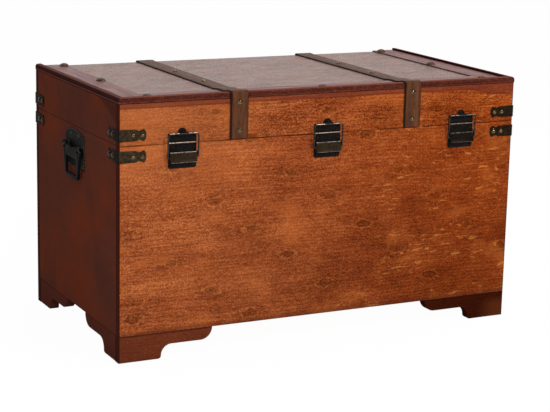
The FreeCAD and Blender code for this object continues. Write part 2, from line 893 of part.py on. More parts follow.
def catchBody():
    """The lid's catch plate: an ear, a rolled lower edge and the hook that the loop draws on."""
    body = newBody("catch_pattern")
    shoulder = s.earHigh - s.earRadius
    sketch = newSketch(body, "XZ_Plane")
    outline(sketch, [
        (-s.catchHalf, s.catchLow), (s.catchHalf, s.catchLow), (s.catchHalf, s.catchHigh),
        (s.earRadius, s.catchHigh), (s.earRadius, shoulder, s.earRadius),
        (-s.earRadius, shoulder), (-s.earRadius, s.catchHigh), (-s.catchHalf, s.catchHigh)])
    for across, up in catchScrewPlaces():
        ring(sketch, across, up, screwHole)
    pad(body, sketch, s.latchSheet)
    hook = newSketch(body, "YZ_Plane")
    root, reach, sheet = -s.latchRoot, -s.hookReach, s.hookSheet
    outline(hook, [
        (root, s.hookFloor), (root, s.hookFloor + sheet), (reach + sheet, s.hookFloor + sheet),
        (reach + sheet, s.hookTip), (reach, s.hookTip), (reach, s.hookFloor)])
    pad(body, hook, s.hookWidth, symmetric=True)
    ledge = newSketch(body, "YZ_Plane")
    outline(ledge, rectangle(-s.ledgeReach, s.catchLow, root, s.catchLow + s.latchSheet))
    pad(body, ledge, s.ledgeHalf * 2, symmetric=True)
    return body


def baseScrewPlaces():
    side, high, low = s.baseScrewSide, -s.baseScrewHigh, -s.baseScrewLow
    return [(-side, high), (side, high), (-side, low), (side, low)]


def baseBody():
    """The body's base plate, with two lugs for the lever's pin."""
    body = newBody("base_pattern")
    half, low, high, corner = s.baseHalf, -s.baseLow, -s.baseHigh, s.baseCorner
    sketch = newSketch(body, "XZ_Plane")
    outline(sketch, [
        (-half + corner, low), (half - corner, low, corner), (half, low + corner),
        (half, high), (-half, high), (-half, low + corner, corner)])
    for across, up in baseScrewPlaces():
        ring(sketch, across, up, screwHole)
    pad(body, sketch, s.latchSheet)
    out, down, radius = -s.leverPivotOut, -s.leverPivotDown, s.lugRadius
    for lift in (-half, half - s.lugSheet):
        lug = newSketch(body, "YZ_Plane", lift)
        outline(lug, [(-s.latchRoot, down - radius), (-s.latchRoot, down + radius),
                      (out, down + radius, radius), (out, down - radius)])
        ring(lug, out, down, s.leverPinRadius + s.runningClearance)
        pad(body, lug, s.lugSheet)
    return body


def leverHalf():
    return s.baseHalf - s.lugSheet - s.leverSideGap


def leverBody(name, x):
    """The stamped thumb lever: a barrel on the pin, a flap with a flared lip, two side cheeks."""
    body = newBody(name)
    out, down = -s.leverPivotOut, -s.leverPivotDown
    sheet, barrel, reach = s.leverSheet, s.leverBarrelRadius, s.leverReach
    half = leverHalf()
    face = out - barrel
    flap = newSketch(body, "YZ_Plane")
    bend, lipOut = down - s.leverBend, face - s.leverLipOut
    outline(flap, [
        (face, down), (face - s.leverSwell, bend), (lipOut, down - reach),
        (face - s.leverLipIn, down - reach - s.leverLipDown), (face + s.leverSwell, bend),
        (face + sheet, down)])
    pad(body, flap, half * 2, symmetric=True)
    eye = newSketch(body, "YZ_Plane")
    ring(eye, out, down, barrel)
    ring(eye, out, down, s.leverPinRadius + s.runningClearance)
    pad(body, eye, half * 2, symmetric=True)
    for lift in (-half, half - sheet):
        cheek = newSketch(body, "YZ_Plane", lift)
        inner = -s.loopPivotOut + s.cheekBehind
        outline(cheek, [
            (inner, down - s.cheekTop), (inner, -s.loopPivotDown - s.cheekBelow),
            (face + s.leverSwell, down - s.cheekLow), (face, down - s.cheekTop)])
        ring(cheek, -s.loopPivotOut, -s.loopPivotDown, s.loopRodRadius + s.runningClearance)
        pad(body, cheek, sheet)
    place(body, x, -halfDepth, seamHeight)
    return keep(body, name)


def roundedPath(points, radii):
    """A wire of straight runs joined by tangent arcs of the given radii at the inner points."""
    edges = []
    start = points[0]
    for i in range(1, len(points) - 1):
        back = (points[i - 1] - points[i]).normalize()
        ahead = (points[i + 1] - points[i]).normalize()
        turn = math.pi - back.getAngle(ahead)
        cut = radii[i - 1] * math.tan(turn / 2)
        first, last = points[i] + back * cut, points[i] + ahead * cut
        inward = (back + ahead).normalize()
        middle = points[i] + inward * (radii[i - 1] / math.cos(turn / 2) - radii[i - 1])
        edges.append(Part.LineSegment(start, first).toShape())
        edges.append(Part.Arc(first, middle, last).toShape())
        start = last
    edges.append(Part.LineSegment(start, points[-1]).toShape())
    return Part.Wire(edges)


def loopShape():
    """The draw loop: a bent rod from cheek to cheek, up past the hook and across."""
    foot = Vector(0, -s.loopPivotOut.value, -s.loopPivotDown.value)
    rod = s.loopRodRadius.value
    barOut = s.hookReach.value + s.loopGap.value + rod
    bar = Vector(0, -barOut, s.loopBarUp.value)
    half = s.loopHalf.value
    inner = half - s.loopFootReach.value
    across = Vector(1, 0, 0)
    points = [foot - across * inner, foot - across * half, bar - across * half,
              bar + across * half, foot + across * half, foot + across * inner]
    footBend, corner = s.loopFootCorner.value, s.loopCorner.value
    path = roundedPath(points, [footBend, corner, corner, footBend])
    profile = Part.Wire(Part.Circle(points[0], across, rod).toShape())
    return path.makePipeShell([profile], True, False)


def buildLatches():
    catch, base = catchBody(), baseBody()
    offsets = {"left": -latchOffset, "middle": ZERO, "right": latchOffset}
    loop = loopShape()
    doc.recompute()
    screw = woodScrew()
    pinHalf = s.baseHalf.value
    pin = Part.makeCylinder(s.leverPinRadius.value, pinHalf * 2,
                            Vector(-pinHalf, -s.leverPivotOut.value, -s.leverPivotDown.value),
                            Vector(1, 0, 0))
    seats = []
    for side, x in offsets.items():
        seats.append(Vector(x.value, -halfDepth.value, seamHeight.value))
        leverBody(side + "_latch_lever", x)
        thing = doc.addObject("Part::Feature", side + "_latch_loop")
        thing.Shape = loop
        thing.Placement = FreeCAD.Placement(seats[-1], FreeCAD.Rotation())
        keep(thing, side + "_latch_loop")
    group("latch_catches", [copyAt(catch.Shape, seat) for seat in seats])
    group("latch_base_plates", [copyAt(base.Shape, seat) for seat in seats])
    group("latch_lever_pins", [copyAt(pin, seat) for seat in seats])
    group("latch_catch_screws", latchScrews(screw, seats, catchScrewPlaces()))
    group("latch_base_screws", latchScrews(screw, seats, baseScrewPlaces()))


def latchScrews(screw, seats, places):
    out = s.latchSheet.value
    return [fastener(screw, "front", seat.x + across.value, seat.y - out, seat.z + up.value)
            for seat in seats for across, up in places]


# ---------------------------------------------------------------- bail handles

def handleScrewPlaces():
    """Screw centres on a handle plate, across and up from the bail's pivot line."""
    side, low = s.handleScrewSide, -s.handleScrewLow
    highSide, high = s.handleScrewHighSide, s.handleScrewHigh
    return [(-side, low), (side, low), (-highSide, high), (highSide, high)]


def handlePlate(name, x, turn):
    """A plate with an arched top, and two lugs for the bail's pins. Outward is local -Y."""
    body = newBody(name)
    half, low, shoulder, top = s.handleHalf, -s.handleBottom, s.handleShoulder, s.handleTop
    archSide, archBend = s.handleArchSide, s.handleArchBend
    sketch = newSketch(body, "XZ_Plane")
    outline(sketch, [
        (-half, low), (half, low), (half, shoulder, archBend), (archSide, top - s.handleSheet),
        (ZERO, top), (-archSide, top - s.handleSheet, archBend), (-half, shoulder)])
    for across, up in handleScrewPlaces():
        ring(sketch, across, up, screwHole)
    pad(body, sketch, s.handleSheet)
    roundEdges(body, s.handleEase, onPlane("y", -s.handleSheet))
    out, radius = -pivotOut, s.handleLugRadius
    for side in (-1, 1):
        lug = newSketch(body, "YZ_Plane", s.handleLugOffset * side - s.handleLugHalf)
        root = -s.handleRoot
        outline(lug, [(root, -radius), (root, radius), (out, radius, radius), (out, -radius)])
        ring(lug, out, ZERO, s.handlePinRadius + s.runningClearance)
        pad(body, lug, s.handleLugHalf * 2)
    place(body, x, handleY, handleHeight, turn)
    return keep(body, name)


def bailOutline():
    """The bail's face: a wide crossband with an ogee top, two legs and a bottom bar."""
    half, top, low = s.bailHalf, -s.bailCrossTop, -s.bailCrossLow
    outer, bar, bottom = s.bailLegOuter, -s.bailBarTop, -s.bailBarLow
    crest, bend = s.bailCrest, s.bailCrossBend
    ear = s.handleLugOffset + s.handleLugHalf + s.knuckleGap
    side = s.handleLugOffset - s.handleLugHalf - s.knuckleGap
    return [
        (-outer + s.bailCorner, bottom), (outer - s.bailCorner, bottom, s.bailCorner),
        (outer, bottom + s.bailCorner), (half, low), (ear + s.bailEarLength, top),
        (ear + s.bailEarLength, ZERO), (ear, ZERO), (ear, top),
        (side, top), (side, crest, bend), (ZERO, crest - s.bailCrossDip, bend),
        (-side, crest), (-side, top), (-ear, top), (-ear, ZERO), (-ear - s.bailEarLength, ZERO),
        (-ear - s.bailEarLength, top), (-half, low), (-outer, bottom + s.bailCorner, s.bailCorner)]


def bail(name, x, turn):
    """A cast bail that hangs from two pins and swings outward. Its pivot line is local X."""
    body = newBody(name)
    thickness, out = s.bailThickness, -pivotOut
    inner, bar, low = s.bailLegInner, -s.bailBarTop, -s.bailCrossLow
    corner = s.bailInnerCorner
    sketch = newSketch(body, "XZ_Plane", pivotOut - thickness / 2)
    outline(sketch, bailOutline())
    outline(sketch, [
        (-inner + corner, bar), (inner - corner, bar, corner), (inner, bar + corner),
        (inner, low - corner, corner), (inner - corner, low), (-inner + corner, low, corner),
        (-inner, low - corner), (-inner, bar + corner, corner)])
    pad(body, sketch, thickness)
    ear = s.handleLugOffset + s.handleLugHalf + s.knuckleGap
    for start in (-ear - s.bailEarLength, ear):
        eye = newSketch(body, "YZ_Plane", start)
        ring(eye, out, ZERO, s.bailEarRadius)
        pad(body, eye, s.bailEarLength)
    bore = newSketch(body, "YZ_Plane")
    ring(bore, out, ZERO, s.handlePinRadius + s.runningClearance)
    pocketThrough(body, bore)
    front = out - thickness / 2
    roundEdges(body, s.bailEase, frontOutline(front))
    place(body, x, handleY, handleHeight, turn)
    return keep(body, name)


def frontOutline(front):
    """Edges of the bail's front face that are clear of its ears."""
    inPlane = onPlane("y", front)
    limit = -s.bailCrossTop.value

    def test(edge):
        return inPlane(edge) and all(vertex.Z < limit - s.bailEase.value for vertex in edge.Vertexes)
    return test


def buildHandles():
    pinHalf = (s.handleLugOffset + s.handleLugHalf + s.knuckleGap + s.bailEarLength).value
    short = (s.bailEarLength + s.handleLugHalf * 2 + s.knuckleGap).value
    pins, screws = [], []
    screw = woodScrew()
    for side, sign, turn in (("left", -1, -90), ("right", 1, 90)):
        x = halfWidth * sign
        handlePlate(side + "_handle_plate", x, turn)
        bail(side + "_handle_bail", x, turn)
        out = sign * (halfWidth.value + pivotOut.value)
        for end in (-1, 1):
            start = Vector(out, handleY.value + end * pinHalf, handleHeight.value)
            pins.append(Part.makeCylinder(s.handlePinRadius.value, short, start, Vector(0, -end, 0)))
        face = sign * (halfWidth.value + s.handleSheet.value)
        for across, up in handleScrewPlaces():
            y, z = handleY + across, handleHeight + up
            screws.append(fastener(screw, side, face, y.value, z.value))
    group("handle_pins", pins)
    group("handle_screws", screws)


# ---------------------------------------------------------------- check and export

def checkDocument():
    doc.recompute()
    for item in doc.Objects:
        if "Invalid" in item.State or "Error" in item.State:
            raise RuntimeError(f"{item.Name} failed: {item.State}")
    for name, item in nodes.items():
        shape = item.Shape
        if shape.isNull() or not shape.isValid() or not shape.Solids:
            raise RuntimeError(f"{name} has no valid solid")


def export():
    os.makedirs("parts", exist_ok=True)
    for name, item in nodes.items():
        item.Shape.exportStep(f"parts/{name}.step")
        print(name, len(item.Shape.Solids), round(item.Shape.Volume))


buildPanels()
buildFeet()
buildLidFrame()
buildLidTop()
buildStraps()
buildStrapNails()
buildTopStuds()
buildBrackets()
buildHinges()
buildLatches()
buildHandles()
checkDocument()
export()
print(len(nodes), "nodes")
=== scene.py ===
import math
import random

import bmesh
import bpy
from mathutils import Euler, Matrix, Vector


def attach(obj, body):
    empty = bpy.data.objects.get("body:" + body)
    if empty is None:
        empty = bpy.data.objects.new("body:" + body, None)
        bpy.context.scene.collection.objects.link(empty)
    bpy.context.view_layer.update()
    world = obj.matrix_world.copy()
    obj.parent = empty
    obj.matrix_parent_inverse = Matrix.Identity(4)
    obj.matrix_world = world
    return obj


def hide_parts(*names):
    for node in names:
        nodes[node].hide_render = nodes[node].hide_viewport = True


# A sea chest on bracket feet: stained veneer case, leathercloth lid, straps, studs and black iron.
# In metres, apart from the dictionaries that are headed millimetres.
# +X is the right-hand end as the front is faced, +Y the back, +Z up.

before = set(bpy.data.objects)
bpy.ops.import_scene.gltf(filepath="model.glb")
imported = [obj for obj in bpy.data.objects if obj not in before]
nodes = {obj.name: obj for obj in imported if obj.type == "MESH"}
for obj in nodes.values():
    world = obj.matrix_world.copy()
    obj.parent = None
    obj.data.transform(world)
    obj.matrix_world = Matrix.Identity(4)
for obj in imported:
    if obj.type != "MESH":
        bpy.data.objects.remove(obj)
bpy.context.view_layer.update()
bpy.ops.object.select_all(action="DESELECT")
print("frame loaded:", len(nodes), "nodes")

mm = 0.001
case = {
    "halfWidth": 0.410, "halfDepth": 0.225, "seam": 0.395, "foot": 0.049, "panel": 0.014,
    "beadLow": 0.4695, "beadTop": 0.481, "beadInnerX": 0.3995, "beadInnerY": 0.2145,
    "bandTop": 0.4775, "bandInner": 0.350, "bandBack": -0.168, "coverTop": 0.4752,
}
view = {
    "place": (-1.43882, -2.87584, 0.93901), "yaw": 0.466484, "pitch": 0.223204, "roll": 0.022235,
    "lens": 108.526, "sensor": 36, "near": 0.05,
}


def linked(name, data):
    made = bpy.data.objects.new(name, data)
    bpy.context.scene.collection.objects.link(made)
    return made


def addCamera():
    data = bpy.data.cameras.new("camera")
    data.lens = view["lens"]
    data.sensor_width = view["sensor"]
    data.clip_start = view["near"]
    camera = linked("camera", data)
    turn = Matrix.Rotation(-view["yaw"], 4, "Z") @ Matrix.Rotation(math.pi / 2 - view["pitch"], 4, "X")
    camera.matrix_world = Matrix.Translation(view["place"]) @ turn @ Matrix.Rotation(view["roll"], 4, "Z")
    bpy.context.scene.camera = camera


# helpers for node trees

class Wire:
    # a socket's value. Sums and products of wires place Math nodes in the socket's own tree
    def __init__(self, socket):
        self.socket = socket
        self.tree = socket.id_data

    def math(self, how, b=0.0, c=0.0, clamp=False):
        return Wire(put(self.tree, "Math", {"operation": how, "use_clamp": clamp}, (self, b, c)).outputs[0])

    def __add__(self, other):
        return self.math("ADD", other)

    def __sub__(self, other):
        return self.math("SUBTRACT", other)

    def __mul__(self, other):
        return self.math("MULTIPLY", other)

    def __abs__(self):
        return self.math("ABSOLUTE")


def fill(socket, value):
    if isinstance(value, Wire):
        value = value.socket
    if isinstance(value, bpy.types.Node):
        value = value.outputs[0]
    if isinstance(value, bpy.types.NodeSocket):
        socket.id_data.links.new(value, socket)
    else:
        socket.default_value = value


def put(tree, kind, settings=None, inputs=(), **sockets):
    made = tree.nodes.new("ShaderNode" + kind)
    for name, value in (settings or {}).items():
        setattr(made, name, value)
    for socket, value in zip(made.inputs, inputs):
        fill(socket, value)
    give(made.inputs, **sockets)
    return made


def give(inputs, **values):
    for name, value in values.items():
        fill(inputs[name.replace("_", " ")], value)


def wires(node):
    return {socket.name: Wire(socket) for socket in node.outputs}


def mixed(factor, a, b, how="MIX"):
    tree = next(value.tree for value in (factor, a, b) if isinstance(value, Wire))
    made = put(tree, "Mix", {"data_type": "RGBA", "blend_type": how})
    for index, value in ((0, factor), (6, a), (7, b)):
        fill(made.inputs[index], value)
    return Wire(made.outputs[2])


def fade(value, start, end, low=0.0, high=1.0):
    settings = {"interpolation_type": "SMOOTHSTEP"}
    return Wire(put(value.tree, "MapRange", settings, (value, start, end, low, high)).outputs[0])


def over(value, limit, softness=0.0002):
    # 1 where the value's size is over the limit
    return fade(abs(value), limit - softness, limit)


def vectorMath(how, a, b=(0, 0, 0)):
    made = put(a.tree, "VectorMath", {"operation": how}, (a, b))
    return Wire(made.outputs["Value" if how in ("LENGTH", "DOT_PRODUCT") else "Vector"])


def noise(vector, scale, detail=3.0, rough=0.5, twist=0.0):
    made = put(vector.tree, "TexNoise", Vector=vectorMath("MULTIPLY", vector, scale), Scale=1.0,
               Detail=detail, Roughness=rough, Distortion=twist)
    return Wire(made.outputs[0])


def swing(value, amount):
    # a noise, 0 to 1, made into a sway each side of nothing
    return (value - 0.5) * amount


def split(vector):
    return list(wires(put(vector.tree, "SeparateXYZ", Vector=vector)).values())


def joined(x, y, z):
    return Wire(put(x.tree, "CombineXYZ", X=x, Y=y, Z=z).outputs[0])


def colour(red, green, blue):
    # a colour as a screen shows it, 0 to 255, made linear
    def line(value):
        value /= 255
        return value / 12.92 if value <= 0.04045 else ((value + 0.055) / 1.055) ** 2.4
    return (line(red), line(green), line(blue), 1.0)


def painted(base, *coats):
    # tones laid over a colour in turn, each where its mask says
    for tone, mask, *how in coats:
        base = mixed(mask, base, colour(*tone), *how)
    return base


def newGroup(name, inputs, outputs):
    # an input is "Vector", or the number or colour that it starts from
    group = bpy.data.node_groups.new(name, "ShaderNodeTree")
    for label, value in inputs.items():
        kind = {str: "Vector", tuple: "Color", float: "Float"}[type(value)]
        socket = group.interface.new_socket(label, in_out="INPUT", socket_type="NodeSocket" + kind)
        if kind != "Vector":
            socket.default_value = value
    for label in outputs:
        kind = {"Color": "Color", "Normal": "Vector"}.get(label, "Float")
        group.interface.new_socket(label, in_out="OUTPUT", socket_type="NodeSocket" + kind)
    return group, wires(group.nodes.new("NodeGroupInput")), group.nodes.new("NodeGroupOutput").inputs


def placed(tree, group, **sockets):
    made = tree.nodes.new("ShaderNodeGroup")
    made.node_tree = group
    give(made.inputs, **sockets)
    return wires(made)


def newMaterial(name):
    material = bpy.data.materials.new(name)
    material.use_nodes = True
    tree = material.node_tree
    shader = next(n for n in tree.nodes if n.type == "BSDF_PRINCIPLED")
    return material, tree, shader, wires(put(tree, "TexCoord"))["Object"]


def surfaced(shader, look, tone, made, distance, strength, normal=None, low=0.0, high=1.0):
    # low and high are the group's roughness where the look's own two values are reached
    give(shader.inputs, Base_Color=tone, Roughness=fade(made["Roughness"], low, high, *look["rough"]),
         Metallic=look.get("metallic", 0.0), Specular_IOR_Level=look["specular"])
    bump = put(shader.id_data, "Bump", Strength=strength, Distance=distance, Height=made["Height"])
    if normal:
        fill(bump.inputs["Normal"], normal)
    fill(shader.inputs["Normal"], bump)


# effects that several materials share

knots = {"column": 0.078, "row": 0.164, "lean": 0.757, "startX": -0.387, "startZ": 0.080, "scatter": 0.12}
# noise scale along, across and through the board, detail, roughness, twist, and how far it shows
grain = {
    "flame": ((2.2, 30, 3), 4, 0.55, 0.4, 0.35), "streak": ((14, 150, 8), 5, 0.62, 0.0, 0.5),
    "hair": ((110, 420, 30), 3, 0.75, 0.0, 1.0), "mottle": ((380, 400, 90), 4, 0.7, 0.0, 2.2),
    "cloud": ((9, 17, 6), 3, 0.6, 0.0, 0.7),
}
surfaceOutputs = ("Color", "Roughness", "Height")


def buildKnotGroup():
    # knots on a leaning lattice, as a peeled veneer repeats them. Bend says how far the grain is pushed
    group, given, out = newGroup("knotLattice", {"Vector": "Vector", "Ragged": 0.5},
                                 ("Eye", "Heart", "Ring", "Halo", "Bend"))
    k = knots
    x, y, _ = split(given["Vector"])
    column = (x - k["startX"]) * (1 / k["column"])
    row = (y + column * (k["column"] * k["lean"]) - k["startZ"]) * (1 / k["row"])
    # a cell's point lies up to the scatter past its corner, so the lattice is moved by half of that
    half = k["scatter"] / 2
    cells = vectorMath("ADD", joined(column, row, 0.0), (half, half, 0))
    cell = wires(put(group, "TexVoronoi", {"voronoi_dimensions": "2D"}, Vector=cells, Scale=1.0,
                     Randomness=k["scatter"]))
    overColumns, overRows, _ = split(vectorMath("SUBTRACT", cells, cell["Position"]))
    awayX = overColumns * k["column"]
    awayY = overRows * k["row"] - awayX * k["lean"]
    chance, size, _ = split(cell["Color"])
    there = fade(chance, 0.10, 0.14)
    apart = vectorMath("LENGTH", joined(awayX * 0.62, awayY * 1.25, 0.0))
    radius = size * 0.006 + 0.0105
    near = apart + swing(given["Ragged"], 0.028)
    halo = fade(apart + swing(given["Ragged"], 0.012), 0.030, 0.004)
    give(out, Eye=fade(near, radius, radius * 0.6) * there,
         Heart=fade(near, radius * 0.64, radius * 0.18) * there,
         Ring=(near * 9.0).math("DIVIDE", radius).math("SINE"),
         Halo=halo * there, Bend=awayY * halo * (there * 0.8))
    return group


def buildWoodGroup():
    # Vector runs along the grain in X and across it in Y, in metres
    group, given, out = newGroup("stainedGrain", {
        "Vector": "Vector", "Light": (0.5, 0.2, 0.08, 1), "Mid": (0.3, 0.1, 0.04, 1),
        "Dark": (0.1, 0.03, 0.015, 1), "Knot": (0.125, 0.022, 0.005, 1), "Figure": 1.0, "Knots": 1.0,
        "Flecks": 1.0}, surfaceOutputs)
    vector = given["Vector"]
    x, y, z = split(vector)
    ragged = noise(vector, (85, 150, 60), 3, 0.6)
    knot = placed(group, knotGroup, Vector=vector, Ragged=ragged)
    eye, heart, halo, bend = (knot[label] * given["Knots"] for label in ("Eye", "Heart", "Halo", "Bend"))
    wander = y + swing(noise(vector, (4, 6, 4), 2), 0.022) - bend
    flow = joined(x, wander, z)
    layers = {name: noise(vector if name in ("mottle", "cloud") else flow, *look[:4])
              for name, look in grain.items()}
    # growth lines a few millimetres apart bend with the grain
    value = (wander * 900 + layers["flame"] * 22).math("SINE") * 0.07
    for name, look in grain.items():
        value = value + swing(layers[name], look[4])
    value = value * given["Figure"] + 0.5 - halo * 0.14
    stained = mixed(fade(value, 0.0, 0.5), given["Dark"], given["Mid"])
    stained = mixed(fade(value, 0.45, 0.95), stained, given["Light"])
    # a dark heart, then a pale and a dark ring, each broken
    dark = eye * fade(knot["Ring"], 0.1, -0.6, 0.0, 0.8) * fade(ragged, 0.40, 0.56)
    pale = eye * fade(knot["Ring"], 0.2, 0.9)
    stained = mixed(pale * 0.85, stained, mixed(0.5, given["Light"], (0.80, 0.34, 0.10, 1)))
    heart = heart * fade(ragged, 0.36, 0.56, 0.75, 1.0)
    stained = mixed(dark.math("MAXIMUM", heart) * 0.9, stained, given["Knot"])
    # pale flecks gather in drifts
    drift = fade(noise(vector, (9, 16, 5), 2), 0.42, 0.56)
    fleck = fade(noise(flow, (40, 150, 30), 3, 0.6, 0.5), 0.585, 0.65)
    bright = mixed(0.6, given["Light"], (0.80, 0.42, 0.13, 1))
    stained = mixed(fleck * drift * given["Flecks"] * 0.75, stained, bright)
    pore = fade(layers["hair"], 0.38, 0.28)
    deep = mixed(0.62, given["Dark"], (0.02, 0.006, 0.003, 1))
    give(out, Color=mixed(pore * 0.12, stained, deep), Roughness=fade(layers["streak"], 0.2, 0.8),
         Height=layers["streak"] * 0.6 + layers["hair"] * 0.4 - pore * 0.5 - eye * 0.4)
    return group


def buildWearGroup():
    # a mask of edges that rub bright, found where a rounded normal leaves the true one
    group, given, out = newGroup("edgeWear", {"Vector": "Vector", "Radius": 0.001, "Patch": 220.0,
                                              "Amount": 1.0}, ("Wear", "Normal"))
    soft = wires(put(group, "Bevel", {"samples": 6}, Radius=given["Radius"]))["Normal"]
    true = wires(put(group, "NewGeometry"))["Normal"]
    edge = fade(vectorMath("DOT_PRODUCT", soft, true), 0.985, 0.86)
    patch = put(group, "TexNoise", Vector=given["Vector"], Scale=given["Patch"], Detail=3.0)
    worn = edge * fade(Wire(patch.outputs[0]), 0.36, 0.60)
    give(out, Wear=worn.math("MULTIPLY", given["Amount"], clamp=True), Normal=soft)
    return group


def buildHideGroup():
    # leather: pebbled cells, fine creases along X and a drift of colour
    group, given, out = newGroup("leatherGrain", {
        "Vector": "Vector", "Light": (0.2, 0.1, 0.06, 1), "Dark": (0.06, 0.03, 0.02, 1), "Pebble": 900.0},
        surfaceOutputs)
    vector = given["Vector"]
    cell = wires(put(group, "TexVoronoi", {"feature": "DISTANCE_TO_EDGE"}, Vector=vector,
                     Scale=given["Pebble"], Randomness=1.0))
    pebble = fade(cell["Distance"], 0.0, 0.22)
    crease = noise(vector, (48, 150, 90), 5, 0.7, 0.8)
    drift = noise(vector, (20, 34, 12), 4, 0.65)
    value = drift + swing(crease, 1.2) + swing(pebble, 0.35)
    give(out, Color=mixed(fade(value, 0.3, 0.7), given["Dark"], given["Light"]),
         Roughness=fade(crease, 0.25, 0.75), Height=pebble * 0.5 + crease * 0.5)
    return group


def buildMetalGroup():
    # plated or blackened metal: mottled, brighter where it is worn
    group, given, out = newGroup("agedMetal", {
        "Vector": "Vector", "Base": (0.05, 0.04, 0.03, 1), "Patina": (0.02, 0.02, 0.015, 1),
        "Bare": (0.5, 0.45, 0.35, 1), "Wear": 0.0}, surfaceOutputs)
    cloud = noise(given["Vector"], (160, 160, 160), 4, 0.6)
    grit = noise(given["Vector"], (1500, 1500, 1500), 3, 0.6)
    value = cloud + swing(grit, 0.5)
    plated = mixed(fade(value, 0.35, 0.65), given["Patina"], given["Base"])
    give(out, Color=mixed(given["Wear"], plated, given["Bare"]),
         Roughness=value.math("SUBTRACT", given["Wear"] * 0.3, clamp=True), Height=grit * 0.35 + cloud)
    return group


knotGroup = buildKnotGroup()
woodGroup = buildWoodGroup()
wearGroup = buildWearGroup()
hideGroup = buildHideGroup()
metalGroup = buildMetalGroup()
print("shared node groups built")


# stained wood: the grain runs along, across and through these axes, and stain is light, mid and dark

plainWood = {"knots": 0.0, "flecks": 0.0, "specular": 0.0}
bandStain = {"stain": ((128, 62, 52), (96, 40, 33), (58, 22, 19)), "figure": 0.6, "rough": (0.30, 0.50),
             "specular": 0.2}
woods = {
    "frontVeneer": {"run": "XZY", "stain": ((184, 108, 60), (140, 70, 36), (90, 40, 20)), "figure": 1.0,
                    "knots": 1.0, "flecks": 1.0, "rough": (0.45, 0.6), "shift": (0.0, 0.0, 0.0)},
    "sideStain": {"run": "YZX", "stain": ((100, 55, 43), (81, 43, 33), (56, 30, 24)), "figure": 0.4,
                  "rough": (0.45, 0.58), "shift": (0.31, 0.12, 0.0)},
    "footFaceStain": {"run": "XZY", "stain": ((120, 60, 36), (92, 43, 26), (54, 24, 16)), "figure": 0.6,
                      "knots": 0.2, "rough": (0.42, 0.56), "shift": (0.7, 0.4, 0.0)},
    "footSideStain": {"run": "YZX", "stain": ((92, 49, 39), (77, 40, 31), (54, 28, 22)), "figure": 0.5,
                      "rough": (0.42, 0.56), "shift": (0.2, 0.9, 0.0)},
    "endBandStain": {"run": "YXZ", **bandStain, "shift": (0.5, 0.2, 0.0)},
    "frontBandStain": {"run": "XYZ", **bandStain, "shift": (0.1, 0.7, 0.0)},
    "longBeadStain": {"run": "XZY", "stain": ((104, 54, 40), (70, 32, 24), (38, 17, 14)), "figure": 0.9,
                      "rough": (0.36, 0.5), "shift": (0.9, 0.33, 0.0)},
    "endBeadStain": {"run": "YZX", "stain": ((70, 38, 34), (50, 26, 23), (32, 16, 15)), "figure": 0.6,
                     "rough": (0.3, 0.4), "shift": (0.4, 0.63, 0.0)},
    "plainBoard": {"run": "XYZ", "stain": ((196, 156, 112), (168, 126, 84), (122, 84, 52)), "figure": 0.7,
                   "knots": 0.3, "flecks": 0.2, "rough": (0.6, 0.75), "specular": 0.2,
                   "shift": (0.0, 0.5, 0.0)},
}
lining = {"stain": ((150, 104, 70), (122, 80, 52), (84, 50, 32)), "figure": 0.6, "knots": 0.2,
          "flecks": 0.0}
pool = {"low": 0.4605, "soft": 0.0012, "deeper": 0.012, "deepFrom": 0.30, "deepTo": 0.375}
seams = {
    "endBeadStain": ("X", case["beadInnerX"]), "longBeadStain": ("Y", case["beadInnerY"]),
    "endBandStain": ("X", case["bandInner"]), "frontBandStain": ("Y", -case["bandBack"]),
}


def arris(x):
    # the last millimetre at each end of the front
    return over(x, case["halfWidth"] - 0.0012, 0.0012)


def stainedBoard(vector, look):
    light, mid, dark = (colour(*tone) for tone in look["stain"])
    return placed(vector.tree, woodGroup, Vector=vector, Light=light, Mid=mid, Dark=dark,
                  Figure=look["figure"], Knots=look["knots"], Flecks=look["flecks"])


def frontTones(axes, stained, vector, name):
    # painted light and shade: paler to the left and upper left, darker to the right and lower down on the
    # left; dark where the stain pooled under the moulding, with a painted shadow along the bottom
    x, z, seam = axes["X"], axes["Z"], case["seam"]
    cloud = noise(vector, (8, 13, 2), 4, 0.65)
    glow = noise(vector, (9, 14, 5), 4, 0.65)
    ragged = noise(vector, (14, 90, 4), 4, 0.6)
    edge = z + swing(ragged, 0.0045) + fade(x, pool["deepFrom"], pool["deepTo"], 0.0, pool["deeper"])
    wet = fade(edge, pool["low"] - pool["soft"], pool["low"] + pool["soft"])
    rim = wet * fade(edge, pool["low"] + 0.004, pool["low"] + 0.0008)
    # painted shadow along the bottom of the front, where it meets the feet
    foot = fade(z + swing(ragged, 0.006), 0.060, 0.053)
    leaf = fade(abs(x), 0.0011, 0.0003) * fade(z, 0.27, 0.20)
    line = fade(abs(z - seam), 0.0019, 0.0007) * fade(ragged, 0.35, 0.6, 0.15, 0.75)
    # the first three coats are painted light and shade, and foot is a painted shadow
    return painted(
        stained,
        ((206, 158, 84), fade(x, -0.38, 0.36) * 0.75, "MULTIPLY"),
        ((230, 230, 236), fade(z, 0.34, 0.10) * fade(x, -0.36, -0.1), "MULTIPLY"),
        ((206, 120, 68), fade(z, 0.28, 0.42) * fade(x, -0.1, -0.36) * 0.35),
        ((231, 228, 226), fade(z, seam - 0.001, seam + 0.001) * fade(x, 0.0, -0.3), "MULTIPLY"),
        ((160, 140, 150), fade(cloud, 0.50, 0.70, 0.0, 0.32), "MULTIPLY"),
        ((196, 108, 50), fade(glow, 0.50, 0.70, 0.0, 0.22)),
        ((104, 46, 32), wet * 0.72), ((60, 26, 18), rim * 0.35), ((78, 36, 24), foot * 0.5),
        ((74, 34, 22), leaf * 0.35), ((62, 26, 18), line), ((60, 28, 21), arris(x)))


